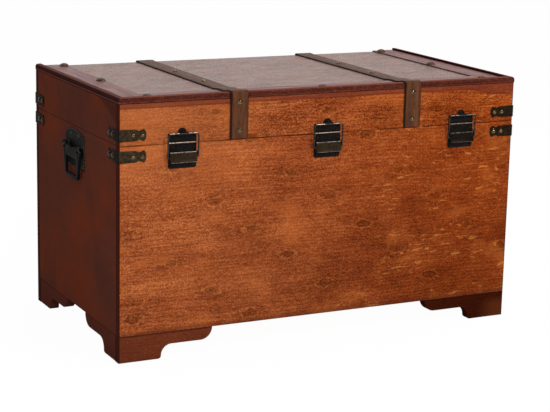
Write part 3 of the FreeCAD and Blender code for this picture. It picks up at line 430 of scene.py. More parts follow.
def sideTones(axes, stained, vector, name):
    # broad warm and grey clouds, as the stain was wiped on, and a darker patch with a slanting edge near
    # the upper front corner
    y, z = axes["Y"], axes["Z"]
    warm = noise(vector, (4.5, 6.5, 5), 3, 0.55)
    grey = noise(vector, (6.0, 4.5, 3), 3, 0.55, 0.6)
    slantedPatch = fade(y * -0.55 + z + swing(warm, 0.05), 0.538, 0.552) * fade(y, -0.10, -0.13)
    return painted(
        stained,
        ((98, 44, 27), fade(warm, 0.42, 0.62, 0.0, 0.7)), ((64, 40, 35), fade(grey, 0.46, 0.62, 0.0, 0.45)),
        ((46, 22, 18), fade(y, -0.216, -0.225) * 0.6), ((48, 27, 24), slantedPatch * 0.5))


def insideTones(axes, stained, vector, name):
    # plain board on the faces inside the case and lid
    skin = case["panel"] - 0.0003
    ends, faces = over(axes["X"], case["halfWidth"] - skin), over(axes["Y"], case["halfDepth"] - skin)
    return mixed(ends.math("MAXIMUM", faces), stainedBoard(vector, lining)["Color"], stained)


def beadTones(axes, stained, vector, name):
    # painted highlights along a bead's crest and lower arris, and painted shade below that
    z, low, top, long = axes["Z"], case["beadLow"], case["beadTop"], name == "longBeadStain"
    pale = (150, 92, 76) if long else (128, 88, 82)
    wornAndLitEdge = fade(z, low + 0.0012, low + 0.0020) * fade(z, low + 0.0032, low + 0.0024)
    return painted(
        stained,
        (pale, fade(z, top - 0.0016, top - 0.0002) * 0.45), (pale, wornAndLitEdge * (0.12 if long else 0.5)),
        ((22, 10, 9), fade(z, low + 0.0012, low + 0.0004) * 0.8))


def seamTones(axes, stained, vector, name):
    # painted shade darkens the inner edge where a moulding or band stands over its neighbour
    axis, inner = seams[name]
    return painted(stained, ((24, 10, 10), fade(abs(axes[axis]), inner + 0.0011, inner + 0.0004) * 0.85))


def footTones(axes, stained, vector, name):
    # painted shade under the case, and on the long boards painted shade to the right, and dark at the
    # corners
    x, z = axes["X"], axes["Z"]
    shade = fade(z, case["foot"] - 0.004, case["foot"])
    if name == "footSideStain":
        return painted(stained, ((28, 12, 9), shade * 0.15))
    toe = fade(x, 0.345, 0.395) * fade(z, 0.045, 0.02)
    # painted shade to the right, the toe, painted shade under the case, then the dark corners
    return painted(
        stained,
        ((150, 130, 118), fade(x, -0.1, 0.2), "MULTIPLY"), ((104, 52, 26), toe * 0.4),
        ((28, 12, 9), shade * 0.6), ((58, 28, 22), arris(x)))


toneSteps = {
    "frontVeneer": (frontTones, insideTones), "sideStain": (sideTones, insideTones),
    "longBeadStain": (beadTones, seamTones), "endBeadStain": (beadTones, seamTones),
    "endBandStain": (seamTones,), "frontBandStain": (seamTones,),
    "footFaceStain": (footTones,), "footSideStain": (footTones,),
}


def woodMaterial(name):
    look = {**plainWood, **woods[name]}
    material, tree, shader, place = newMaterial(name)
    axes = dict(zip("XYZ", split(place)))
    vector = vectorMath("ADD", joined(*(axes[axis] for axis in look["run"])), look["shift"])
    light = colour(*look["stain"][0])
    if name == "frontVeneer":
        # the lid's figure is stronger, and the flecks lie to the right
        seam, figure = case["seam"], look["figure"]
        look["figure"] = fade(axes["Z"], seam - 0.01, seam + 0.01, figure, figure * 1.35)
        look["flecks"] = fade(axes["X"] - axes["Z"] * 0.4, -0.15, 0.15, 0.0, look["flecks"])
    board = stainedBoard(vector, look)
    wear = placed(tree, wearGroup, Vector=place, Radius=0.0012, Patch=140.0, Amount=0.5)
    # the ends are stained so dark that their rubbed edges stay dark too
    wornAndLitEdge = [part / 2 for part in light] if name == "sideStain" else light
    stained = mixed(wear["Wear"] * 0.5, board["Color"], wornAndLitEdge)
    for step in toneSteps.get(name, ()):
        stained = step(axes, stained, vector, name)
    surfaced(shader, look, stained, board, 0.00012, 0.55, wear["Normal"])
    return material


# leather

hides = {
    "topLeather": {"light": (146, 102, 86), "dark": (84, 46, 35), "pebble": 420.0, "rough": (0.22, 0.55),
                   "depth": 0.0014, "specular": 0.6, "stretch": (1, 1, 1)},
    "strapLeather": {"light": (98, 58, 35), "dark": (64, 36, 20), "pebble": 1100.0, "rough": (0.40, 0.54),
                     "depth": 0.0002, "specular": 0.07, "stretch": (3.5, 0.3, 0.3)},
}


def strapTones(place, dyed):
    # a groove along each side, dark cut edges, and painted shade that makes the dark edge wider on the left
    x = split(place)[0]
    home, half, line = strap["offset"] * mm, strap["width"] / 2 * mm, strap["line"] * mm
    across = abs(abs(x) - home)
    groove = fade(across, line - 0.0009, line) * fade(across, line + 0.0009, line)
    # painted shade on the left edge, which is turned away from the light
    left = fade(x.math("SIGN") * home - x, half - 0.0034, half - 0.0018)
    cut = fade(across, half - 0.0012, half - 0.0005).math("MAXIMUM", left)
    return painted(dyed, ((30, 18, 12), groove * 0.55), ((16, 9, 7), cut * 0.92))


def hideMaterial(name):
    look = hides[name]
    material, tree, shader, place = newMaterial(name)
    hide = placed(tree, hideGroup, Vector=vectorMath("MULTIPLY", place, look["stretch"]),
                  Light=colour(*look["light"]), Dark=colour(*look["dark"]), Pebble=look["pebble"])
    dyed = strapTones(place, hide["Color"]) if name == "strapLeather" else hide["Color"]
    surfaced(shader, look, dyed, hide, look["depth"], 0.8)
    return material


# metal: tones are its base, its patina and where it is bare

metals = {
    "agedBrass": {"tones": ((120, 100, 70), (80, 66, 46), (190, 170, 126)), "rough": (0.12, 0.22),
                  "wear": 0.2, "radius": 0.0004, "metallic": 1.0, "specular": 0.5},
    "studBronze": {"tones": ((96, 74, 58), (62, 46, 36), (140, 116, 90)), "rough": (0.34, 0.46),
                   "wear": 0.1, "radius": 0.0004, "metallic": 0.6, "specular": 0.2},
    "bracketBronze": {"tones": ((60, 47, 33), (36, 29, 20), (110, 94, 66)), "rough": (0.45, 0.62),
                      "wear": 0.3, "radius": 0.0005, "specular": 0.02},
    "hingeSteel": {"tones": ((58, 52, 42), (34, 31, 27), (140, 130, 110)), "rough": (0.34, 0.55),
                   "wear": 0.5, "radius": 0.0006, "metallic": 0.4, "specular": 0.3},
    "latchBlack": {"tones": ((22, 19, 16), (12, 11, 10), (90, 82, 72)), "rough": (0.34, 0.5),
                   "wear": 0.5, "radius": 0.0005, "metallic": 0.1, "specular": 0.06},
    "leverBronze": {"tones": ((48, 34, 20), (33, 24, 14), (150, 130, 98)), "rough": (0.38, 0.54),
                    "wear": 0.5, "radius": 0.0005, "metallic": 0.1, "specular": 0.06},
    "loopSteel": {"tones": ((48, 42, 36), (24, 22, 20), (150, 130, 110)), "rough": (0.28, 0.44),
                  "wear": 0.5, "radius": 0.0007, "metallic": 0.3, "specular": 0.3},
    "handleIron": {"tones": ((26, 24, 23), (13, 12, 12), (170, 156, 136)), "rough": (0.34, 0.50),
                   "wear": 1.0, "radius": 0.0010, "specular": 0.01},
}
# painted shade over the right-hand fittings, and over those on the ends
shadedFittings = {
    "bracketBronze": ((170, 166, 160), (140, 134, 130)),
    "agedBrass": ((255, 252, 246), (150, 144, 138)),
    "leverBronze": ((150, 144, 138), (255, 255, 255)),
}
# painted highlight lines where ledges and edges catch the light, as heights from the seam in millimetres:
# from, to, how bright
highlightLines = {
    "latchBlack": [(1.1, 2.4, 0.85)], "leverBronze": [(-16.0, -15.1, 0.8), (-33.6, -32.9, 0.4)],
    "loopSteel": [(18.3, 19.5, 0.95)],
}
highlightTint = {"left": (216, 192, 176), "right": (70, 60, 52)}


def paintedHighlights(place, plated, lines):
    # painted highlights: thin bright lines where ledges and edges catch the light, broken up along their
    # length and duller to the right
    x, y, z = split(place)
    height = z - case["seam"]
    broken = fade(noise(place, (260, 40, 40), 2, 0.5), 0.40, 0.52, 0.25, 1.0)
    tint = mixed(fade(x, -0.15, 0.2, 0.0, 0.6), colour(*highlightTint["left"]), colour(*highlightTint["right"]))
    spacing = latch["places"]["right"] / 2 * mm
    ends = fade(abs(x.math("WRAP", spacing, -spacing)), 0.008, 0.010)
    for low, high, bright in lines:
        line = (fade(height, (low - 0.3) * mm, (low + 0.2) * mm)
                * fade(height, (high + 0.3) * mm, (high - 0.2) * mm))
        if low > 10:
            line = line * ends
        elif low > 0:
            line = line * fade(y, -0.2284, -0.2290)
        plated = mixed(line * broken * bright, plated, tint)
    return plated


def metalMaterial(name):
    look = metals[name]
    material, tree, shader, place = newMaterial(name)
    wear = placed(tree, wearGroup, Vector=place, Radius=look["radius"], Patch=330.0, Amount=look["wear"])
    base, patina, bare = (colour(*tone) for tone in look["tones"])
    metal = placed(tree, metalGroup, Vector=place, Base=base, Patina=patina, Bare=bare, Wear=wear["Wear"])
    plated = metal["Color"]
    # painted shade: fittings darker to the right and on the ends
    if name in shadedFittings:
        x = split(place)[0]
        right, ends = shadedFittings[name]
        plated = painted(plated, (right, fade(x, 0.0, 0.30), "MULTIPLY"),
                         (ends, over(x, case["halfWidth"] + 0.0003), "MULTIPLY"))
    # painted highlight lines along the ledges and edges
    if name in highlightLines:
        plated = paintedHighlights(place, plated, highlightLines[name])
    surfaced(shader, look, plated, metal, 0.00008, 0.5, wear["Normal"], 0.2, 0.8)
    return material


# helpers for modelling

def choose(*pieces):
    bpy.ops.object.select_all(action="DESELECT")
    for piece in pieces:
        piece.select_set(True)
    bpy.context.view_layer.objects.active = pieces[0]


def settle(piece):
    # a piece's place goes into its mesh
    choose(piece)
    bpy.ops.object.transform_apply(location=True, rotation=True, scale=True)


def added(primitive, **values):
    bpy.ops.object.select_all(action="DESELECT")
    primitive(**values)
    piece = bpy.context.object
    settle(piece)
    return piece


def edit(piece):
    choose(piece)
    bpy.ops.object.mode_set(mode="EDIT")
    bpy.ops.mesh.select_all(action="SELECT")


def done():
    bpy.ops.object.mode_set(mode="OBJECT")


def pick(kind, test):
    # in edit mode, selects what has its middle where the test says
    bpy.ops.mesh.select_mode(type=kind)
    bpy.ops.mesh.select_all(action="DESELECT")
    data = bpy.context.edit_object.data
    mesh = bmesh.from_edit_mesh(data)
    for item in {"VERT": mesh.verts, "EDGE": mesh.edges, "FACE": mesh.faces}[kind]:
        middle = item.co if kind == "VERT" else sum((v.co for v in item.verts), Vector()) / len(item.verts)
        if test(middle):
            item.select_set(True)
    mesh.select_flush_mode()
    bmesh.update_edit_mesh(data)


def draw(x=0.0, y=0.0, z=0.0):
    bpy.ops.mesh.extrude_region_move(TRANSFORM_OT_translate={"value": (x, y, z)})


def modify(piece, kind, **values):
    choose(piece)
    modifier = piece.modifiers.new("shape", kind)
    for name, value in values.items():
        setattr(modifier, name, value)
    bpy.ops.object.modifier_apply(modifier=modifier.name)


def eased(piece, width, segments=2, angle=40):
    modify(piece, "BEVEL", width=width * mm, segments=segments, limit_method="ANGLE",
           angle_limit=math.radians(angle))


def thickened(piece, thickness, side):
    modify(piece, "SOLIDIFY", thickness=thickness * mm, offset=side, use_even_offset=True)


def copied(piece, turn=(0, 0, 0), move=(0, 0, 0)):
    # a twin with its own mesh, turned about the origin and then moved
    choose(piece)
    bpy.ops.object.duplicate(linked=False)
    twin = bpy.context.object
    twin.matrix_world = Matrix.Translation(move) @ Euler(turn).to_matrix().to_4x4()
    settle(twin)
    return twin


def merged(pieces):
    choose(*pieces)
    bpy.ops.object.join()
    return bpy.context.object


def dropped(*pieces):
    for piece in pieces:
        bpy.data.objects.remove(piece, do_unlink=True)


def coated(data, finish):
    data.materials.clear()
    data.materials.append(materials[finish])


def finished(piece, name, finish, body, node, angle=35):
    edit(piece)
    bpy.ops.mesh.remove_doubles(threshold=0.000002)
    bpy.ops.mesh.normals_make_consistent(inside=False)
    done()
    bpy.ops.object.shade_smooth_by_angle(angle=math.radians(angle))
    piece.name = name
    piece.data.name = name
    coated(piece.data, finish)
    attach(piece, body)
    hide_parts(node)


def drawn(corners, steps=5):
    # a closed outline: a third number bends the run to the next corner, to the left if it is positive
    points = []
    for i, corner in enumerate(corners):
        start, end = Vector(corner[:2]), Vector(corners[(i + 1) % len(corners)][:2])
        points.append(start)
        if len(corner) > 2:
            radius, half = corner[2], (end - start).length / 2
            left = Vector((start.y - end.y, end.x - start.x)).normalized()
            away = math.sqrt(max(radius ** 2 - half ** 2, 0.0))
            centre = (start + end) / 2 + left * math.copysign(away, radius)
            sweep = math.copysign(2 * math.asin(min(half / abs(radius), 1.0)), radius)
            for step in range(1, steps):
                points.append(centre + Matrix.Rotation(sweep * step / steps, 2) @ (start - centre))
    return points


def mirrored(right):
    # the whole outline of a shape that is the same on both sides, from its right half, bottom to top
    left = [(-x, z, *before[2:]) for before, (x, z, *_) in zip(right, right[1:])]
    if right[-1][0] == 0:
        right = right[:-1]
    return [(-right[0][0], right[0][1]), *right, *reversed(left)]


def blank(corners, thickness, back=0.0):
    # a plate with this outline in X and Z, in millimetres, its front towards -Y. Flat without a thickness
    points = drawn(corners)
    piece = added(bpy.ops.mesh.primitive_circle_add, vertices=len(points), fill_type="NGON")
    for vertex, (x, z) in zip(piece.data.vertices, points):
        vertex.co = Vector((x, -back, z)) * mm
    edit(piece)
    if thickness:
        draw(y=-thickness * mm)
        bpy.ops.mesh.select_all(action="SELECT")
        bpy.ops.mesh.normals_make_consistent(inside=False)
    elif bmesh.from_edit_mesh(piece.data).faces[:][0].normal.y > 0:
        bpy.ops.mesh.flip_normals()
    done()
    return piece


def sidePlates(corners, thickness, places, edge):
    # a plate in Y and Z at each of these places, from there towards +X
    flat = blank(corners, thickness)
    plates = [copied(flat, (0, 0, math.pi / 2), (x * mm, 0, 0)) for x in places]
    dropped(flat)
    for plate in plates:
        eased(plate, edge)
    return plates


def rounded(points, radii, steps=5):
    # an open path whose inner corners are rounded by these radii
    points = [Vector(point) for point in points]
    path = [points[0]]
    for before, corner, after, radius in zip(points, points[1:], points[2:], radii):
        back, ahead = (before - corner).normalized(), (after - corner).normalized()
        cut = radius * math.tan((math.pi - back.angle(ahead)) / 2)
        first, last = corner + back * cut, corner + ahead * cut
        for step in range(steps + 1):
            t = step / steps
            path.append(first * (1 - t) ** 2 + corner * (2 * t * (1 - t)) + last * t ** 2)
    return path + [points[-1]]


def strip(path, half, cuts=()):
    # a sheet drawn along a path in Y and Z, with lengthways edges at the cuts; millimetres
    piece = added(bpy.ops.mesh.primitive_plane_add, size=1)
    for vertex in piece.data.vertices:
        y, z = path[1] if vertex.co.y > 0 else path[0]
        vertex.co = Vector((math.copysign(half, vertex.co.x), y, z)) * mm
    edit(piece)
    end = Vector((0, *path[1])) * mm
    pick("EDGE", lambda middle: (middle - end).length < 0.00001)
    for start, stop in zip(path[1:], path[2:]):
        draw(y=(stop.x - start.x) * mm, z=(stop.y - start.y) * mm)
    for cut in cuts:
        bpy.ops.mesh.select_all(action="SELECT")
        bpy.ops.mesh.bisect(plane_co=(cut * mm, 0, 0), plane_no=(1, 0, 0))
    done()
    return piece


def folded(path, half, thickness):
    # sheet metal bent along a path, the thickness laid on its inner side
    piece = strip(path, half)
    thickened(piece, thickness, -1)
    return piece


# the two sides, and the two halves of the chest: name, body and way from the seam

sides = (("left", -1), ("right", 1))
halves = (("lid", "lid", 1), ("body", "chest", -1))

# top covering

cover = {"across": 84, "along": 48, "waves": 0.06, "sink": 0.00028, "thickness": 0.0006}


def makeCovering():
    inner, front, back = case["bandInner"], case["bandBack"], case["halfDepth"]
    piece = added(bpy.ops.mesh.primitive_grid_add, x_subdivisions=cover["across"],
                  y_subdivisions=cover["along"], size=1)
    piece.scale = (inner * 2, back - front, 1)
    piece.location = (0, (front + back) / 2, case["coverTop"])
    settle(piece)
    waves = bpy.data.textures.new("hideWaves", "CLOUDS")
    waves.noise_scale = cover["waves"]
    modify(piece, "DISPLACE", texture=waves, strength=cover["sink"], mid_level=1.0)
    modify(piece, "SOLIDIFY", thickness=cover["thickness"], offset=-1)
    finished(piece, "leathercloth", "topLeather", "lid", "top_covering")


# straps, millimetres

strap = {
    "offset": 180.5, "width": 34.5, "thickness": 2.3, "rise": 0.3, "line": 14.4, "lineHalf": 0.7,
    "edgeFrom": 16.3, "low": 396.4, "lead": 6, "noseLow": 0.8, "noseHigh": 2.4, "overhang": 0.5,
    "ramp": 19, "lift": 1.2, "bow": 20, "clear": 1.2, "bend": 3, "easyBend": 14, "edge": 0.7,
}


def strapRoute():
    # the underside, from the front seam over the lid to the back seam
    face, top = case["halfDepth"] / mm, case["beadTop"] / mm
    nose, inner = face + strap["overhang"], case["beadInnerY"] / mm
    rail, flat = case["beadLow"] / mm, case["coverTop"] / mm
    rise, step = case["bandTop"] / mm, -case["bandBack"] / mm
    corners = [
        (-face, strap["low"]), (-face, rail - strap["lead"]), (-nose, rail + strap["noseLow"]),
        (-nose, top - strap["noseHigh"]), (-nose + strap["noseHigh"], top), (-inner + strap["clear"], top),
        (-inner + strap["ramp"], rise), (-step, rise), (-step + strap["ramp"], flat),
        (face - strap["bow"], flat), (face + strap["lift"], flat + strap["lift"]),
        (face, flat - strap["bow"]), (face, strap["low"])]
    bend, easy = strap["bend"], strap["easyBend"]
    return rounded(corners, [easy, bend, bend, bend, easy, easy, easy, easy, easy, bend, easy])


def makeStraps():
    # pressed lines run along both sides, and the leather between and beside them stands a little higher
    line, lineHalf, edge = strap["line"], strap["lineHalf"], strap["edgeFrom"]
    cuts = [side * away for side in (-1, 1) for away in (edge, line + lineHalf, line, line - lineHalf)]
    pattern = strip(strapRoute(), strap["width"] / 2, cuts + [0])
    edit(pattern)
    pick("VERT", lambda p: abs(p.x) < edge * mm + 0.0001 and abs(abs(p.x) - line * mm) > lineHalf * mm / 2)
    bpy.ops.transform.shrink_fatten(value=strap["rise"] * mm)
    done()
    thickened(pattern, strap["thickness"], 1)
    eased(pattern, strap["edge"], angle=60)
    for side, sign in sides:
        piece = copied(pattern, move=(sign * strap["offset"] * mm, 0, 0))
        finished(piece, side + "StrapLeather", "strapLeather", "lid", side + "_strap")
    dropped(pattern)


# nails, studs and corner brackets, millimetres

nails = {"ring": 20, "rows": 12, "neck": 0.14, "collar": 1.06, "collarRise": 0.35, "tilt": 0.05, "seed": 7,
         "spin": 20}
strapNails = {"head": 11, "rise": 3, "low": 411, "high": 462.5, "top": 69}
studs = {"head": 20, "rise": 5.5, "side": 359, "frontSide": 349, "end": 203}
brackets = {
    "sheet": 1.2, "reach": 51, "half": 11, "neck": 7.8, "fromSeam": 19, "near": 26, "far": 43,
    "shoulder": 32.6, "notch": 5.6, "notchBend": -6.2, "waist": 10.2, "flare": 46.5, "point": 13.2,
    "head": 9.5, "rise": 3, "edge": 0.35, "corner": 1.1,
}
facings = {"front": (math.pi / 2, 0, 0), "back": (-math.pi / 2, 0, 0),
           "left": (0, -math.pi / 2, 0), "right": (0, math.pi / 2, 0), "top": (0, 0, 0)}


def nailHead(head, rise):
    # a pressed dome on a thin collar, standing on the origin
    dome = head / 2 * mm / nails["collar"]
    low, base = nails["neck"] * dome, nails["collarRise"] * mm
    piece = added(bpy.ops.mesh.primitive_uv_sphere_add, segments=nails["ring"], ring_count=nails["rows"],
                  radius=dome)
    edit(piece)
    bpy.ops.mesh.bisect(plane_co=(0, 0, low), plane_no=(0, 0, 1), clear_inner=True)
    bpy.ops.mesh.select_all(action="SELECT")
    bpy.ops.transform.translate(value=(0, 0, -low))
    height = (rise - nails["collarRise"]) * mm
    bpy.ops.transform.resize(value=(1, 1, height / (dome - low)), center_override=(0, 0, 0))
    bpy.ops.transform.translate(value=(0, 0, base))
    pick("EDGE", lambda p: p.z < base + 0.000001)
    bpy.ops.mesh.extrude_region_move()
    bpy.ops.transform.resize(value=(nails["collar"], nails["collar"], 1), center_override=(0, 0, base))
    draw(z=-base)
    bpy.ops.mesh.edge_face_add()
    done()
    return piece


def nailed(size, places, name, body, node, finish="agedBrass"):
    # a head at each place, driven a little askew
    head = nailHead(size["head"], size["rise"])
    copies = []
    for facing, place in places:
        x, y, z = (random.uniform(-nails["tilt"], nails["tilt"]) for _ in range(3))
        turn = Euler(facings[facing]).to_matrix() @ Euler((x, y, z * nails["spin"])).to_matrix()
        copies.append(copied(head, turn.to_euler(), place))
    finished(merged(copies), name, finish, body, node, angle=50)
    dropped(head)


def makeNails():
    random.seed(nails["seed"])
    halfWidth, halfDepth = case["halfWidth"], case["halfDepth"]
    out = halfDepth + (strap["thickness"] + strap["rise"]) * mm
    high = case["coverTop"] + (strap["thickness"] + strap["rise"]) * mm
    places = []
    for x in (-strap["offset"] * mm, strap["offset"] * mm):
        for z in (strapNails["low"] * mm, strapNails["high"] * mm):
            places += [("front", (x, -out, z)), ("back", (x, out, z))]
        places += [("top", (x, side * strapNails["top"] * mm, high)) for side in (-1, 1)]
    nailed(strapNails, places, "strapTacks", "lid", "strap_nails")
    side, frontSide, end = (studs[key] * mm for key in ("side", "frontSide", "end"))
    spots = [(sign * x, y) for sign in (-1, 1) for x, y in ((frontSide, -end), (side, 0), (side, end))]
    places = [("top", (x, y, case["bandTop"])) for x, y in spots + [(0, -end)]]
    nailed(studs, places, "domedStuds", "lid", "top_studs", "studBronze")
    out = brackets["sheet"] * mm
    for part, body, sign in halves:
        z = case["seam"] + sign * brackets["fromSeam"] * mm
        places = []
        for along in (brackets["near"] * mm, brackets["far"] * mm):
            for side in (-1, 1):
                x, y = side * (halfWidth - along), side * (halfDepth - along)
                places += [("front", (x, -halfDepth - out, z)), ("back", (x, halfDepth + out, z)),
                           ("left", (-halfWidth - out, y, z)), ("right", (halfWidth + out, y, z))]
        nailed(brackets, places, part + "BracketTacks", body, part + "_bracket_nails")


def makeBrackets():
    b = brackets
    half, shoulder, waist, neck, flare = b["half"], b["shoulder"], b["waist"], b["neck"], b["flare"]
    waistEnd, cove, point = shoulder + b["notch"], b["notchBend"], b["point"]
    # both wings are cut flat, then the left one is folded back round the corner
    wing = [(0, -half), (shoulder, -waist, cove), (waistEnd, -neck), (flare, -half, point),
            (b["reach"], 0, point), (flare, half), (waistEnd, neck, cove), (shoulder, waist)]
    pattern = blank(wing + [(-x, -z, *bend) for x, z, *bend in wing], 0)
    edit(pattern)
    bpy.ops.mesh.bisect(plane_co=(0, 0, 0), plane_no=(1, 0, 0))
    pick("VERT", lambda p: p.x < -0.000001)
    bpy.ops.transform.rotate(value=math.pi / 2, orient_axis="Z", center_override=(0, 0, 0))
    done()
    thickened(pattern, b["sheet"], 1)
    edit(pattern)
    corner = Vector((-b["sheet"], -b["sheet"])) * mm
    pick("EDGE", lambda p: (Vector(p[:2]) - corner).length < 0.00001)
    bpy.ops.mesh.bevel(offset=b["corner"] * mm, segments=3)
    done()
    eased(pattern, b["edge"], angle=60)
    x, y = case["halfWidth"], case["halfDepth"]
    corners = [(-x, -y, 0), (x, -y, 90), (x, y, 180), (-x, y, -90)]
    for part, body, sign in halves:
        z = case["seam"] + sign * b["fromSeam"] * mm
        plates = [copied(pattern, (0, 0, math.radians(turn)), (px, py, z)) for px, py, turn in corners]
        finished(merged(plates), part + "CornerPlates", "bracketBronze", body,
                 part + "_corner_brackets")
    dropped(pattern)


# draw latches, millimetres from the seam at the front face

latch = {
    "places": {"left": -290.75, "middle": 0.0, "right": 290.75}, "sheet": 1.5, "half": 27, "root": 0.8,
    "catchLow": 0.8, "catchHigh": 18.5, "ear": 8.5, "earRise": 19.5, "ledge": 4.5, "ledgeHalf": 26.5,
    "roll": 0.7, "hookHalf": 10, "hookFloor": 13.9, "hookTip": 20.8, "hookReach": 5.8, "hookSheet": 1.3,
    "hookBend": 1.2, "baseLow": 45, "baseHigh": 1, "baseCorner": 4, "lugOut": 5.5, "lugDown": 18.5,
    "lug": 4.5, "lugSheet": 1.2, "edge": 0.35,
}
# its barrel is rolled round the pivot through these degrees
lever = {
    "half": 25.5, "sheet": 1.4, "barrel": 3.2, "rolled": range(20, 260, 20), "bends": [0.6, 2.4, 6],
    "path": [(-11.0, -33.8), (-11.8, -33.0), (-9.5, -29.3), (-8.75, -22.5), (-8.7, -18.5)],
    "cheek": [(-3.6, -21.1), (-3.6, -27.7), (-8.0, -28.5), (-8.5, -21.1)], "edge": 0.3,
}
loop = {"half": 29.2, "inner": 22.8, "footOut": 5.8, "footDown": 25.2, "barOut": 7.6, "barUp": 18.0,
        "rod": 1.4, "bends": [2.6, 6, 6, 2.6]}


def makeCatch():
    l = latch
    low, high, ear, root = l["catchLow"], l["catchHigh"], l["ear"], -l["root"]
    plate = blank(mirrored([(l["half"], low), (l["half"], high), (ear, high), (ear, l["earRise"], ear)]),
                  l["sheet"])
    eased(plate, l["edge"])
    out, rim = -l["ledge"], low + l["sheet"]
    ledge = rounded([(root, low), (out, low), (out, rim), (root, rim)], [l["roll"], l["roll"]])
    ledge = folded(ledge, l["ledgeHalf"], l["roll"])
    out, floor = -l["hookReach"], l["hookFloor"]
    hook = rounded([(root, floor), (out, floor), (out, l["hookTip"])], [l["hookBend"]])
    hook = folded(hook, l["hookHalf"], l["hookSheet"])
    eased(hook, l["edge"])
    return merged([plate, ledge, hook])


def makeBase():
    l = latch
    half, low, corner, root = l["half"], -l["baseLow"], l["baseCorner"], -l["root"]
    plate = blank(mirrored([(half - corner, low, corner), (half, low + corner), (half, -l["baseHigh"])]),
                  l["sheet"])
    eased(plate, l["edge"])
    out, down, lug = -l["lugOut"], -l["lugDown"], l["lug"]
    shape = [(root, down - lug), (root, down + lug), (out, down + lug, lug), (out, down - lug)]
    lugs = sidePlates(shape, l["lugSheet"], (-half, half - l["lugSheet"]), l["edge"])
    return merged([plate, *lugs])


def makeLever():
    half, sheet = lever["half"], lever["sheet"]
    centre = Vector((-latch["lugOut"], -latch["lugDown"]))
    barrel = [centre + Matrix.Rotation(-math.radians(turn), 2) @ Vector((-lever["barrel"], 0))
              for turn in lever["rolled"]]
    flap = folded(rounded(lever["path"], lever["bends"]) + barrel, half, sheet)
    eased(flap, lever["edge"], angle=60)
    return merged([flap, *sidePlates(lever["cheek"], sheet, (-half, half - sheet), lever["edge"])])


def makeLoop():
    foot, bar = (-loop["footOut"], -loop["footDown"]), (-loop["barOut"], loop["barUp"])
    half, inner = loop["half"], loop["inner"]
    path = rounded([(-inner, *foot), (-half, *foot), (-half, *bar), (half, *bar), (half, *foot),
                    (inner, *foot)], loop["bends"], 6)
    data = bpy.data.curves.new("loopRod", "CURVE")
    data.dimensions = "3D"
    data.bevel_depth = loop["rod"] * mm
    data.bevel_resolution = 4
    data.use_fill_caps = True
    spline = data.splines.new("POLY")
    spline.points.add(len(path) - 1)
    for point, place in zip(spline.points, path):
        point.co = (*(place * mm), 1)
    choose(linked("loopRod", data))
    bpy.ops.object.convert(target="MESH")
    return bpy.context.object


def makeLatches():
    catch, base, flap, rod = makeCatch(), makeBase(), makeLever(), makeLoop()
    seats = {side: (x * mm, -case["halfDepth"], case["seam"]) for side, x in latch["places"].items()}
    for piece, name, body, node in ((catch, "catchPlates", "lid", "latch_catches"),
                                    (base, "basePlates", "chest", "latch_base_plates")):
        plates = [copied(piece, move=seat) for seat in seats.values()]
        finished(merged(plates), name, "latchBlack", body, node)
    for side, seat in seats.items():
        finished(copied(flap, move=seat), side + "ThumbLever", "leverBronze", side + "_lever",
                 side + "_latch_lever")
        finished(copied(rod, move=seat), side + "DrawLoop", "loopSteel", side + "_loop",
                 side + "_latch_loop", angle=60)
    dropped(catch, base, flap, rod)


# bail handles, millimetres from the pivot line at the end panel

handle = {
    "y": -4, "z": 358.5, "half": 49, "low": 40, "shoulder": 20, "arch": 25, "archTop": 29, "top": 31,
    "bend": 56, "sheet": 2, "edge": 0.7, "rim": 2.6, "sunk": 0.45,
    "lugOffset": 36, "lugHalf": 3.5, "lug": 5.2, "root": 1, "pivot": 7.0,
}
bail = {
    "half": 41, "top": 8, "low": 21, "dip": 4, "crest": 0.5, "bend": 60, "outer": 35, "inner": 28,
    "bar": 53, "bottom": 60, "corner": 7, "innerCorner": 3.5, "thickness": 5, "gap": 0.3,
    "earLength": 7, "ear": 4.6, "earRing": 28, "earEdge": 0.6, "edge": 1.1,
}


def makeBack():
    h = handle
    half, arch, lug, root, out = h["half"], h["arch"], h["lug"], -h["root"], -h["pivot"]
    plate = blank(mirrored([(half, -h["low"]), (half, h["shoulder"], h["bend"]), (arch, h["archTop"]),
                            (0, h["top"])]), h["sheet"])
    edit(plate)
    pick("FACE", lambda p: p.y < -h["sheet"] * mm + 0.000001)
    bpy.ops.mesh.inset(thickness=h["rim"] * mm)
    bpy.ops.transform.translate(value=(0, h["sunk"] * mm, 0))
    done()
    eased(plate, h["edge"] / 2, angle=30)
    places = [side * h["lugOffset"] - h["lugHalf"] for side in (-1, 1)]
    lugs = sidePlates([(root, -lug), (root, lug), (out, lug, lug), (out, -lug)], h["lugHalf"] * 2, places,
                      h["edge"])
    return merged([plate, *lugs])


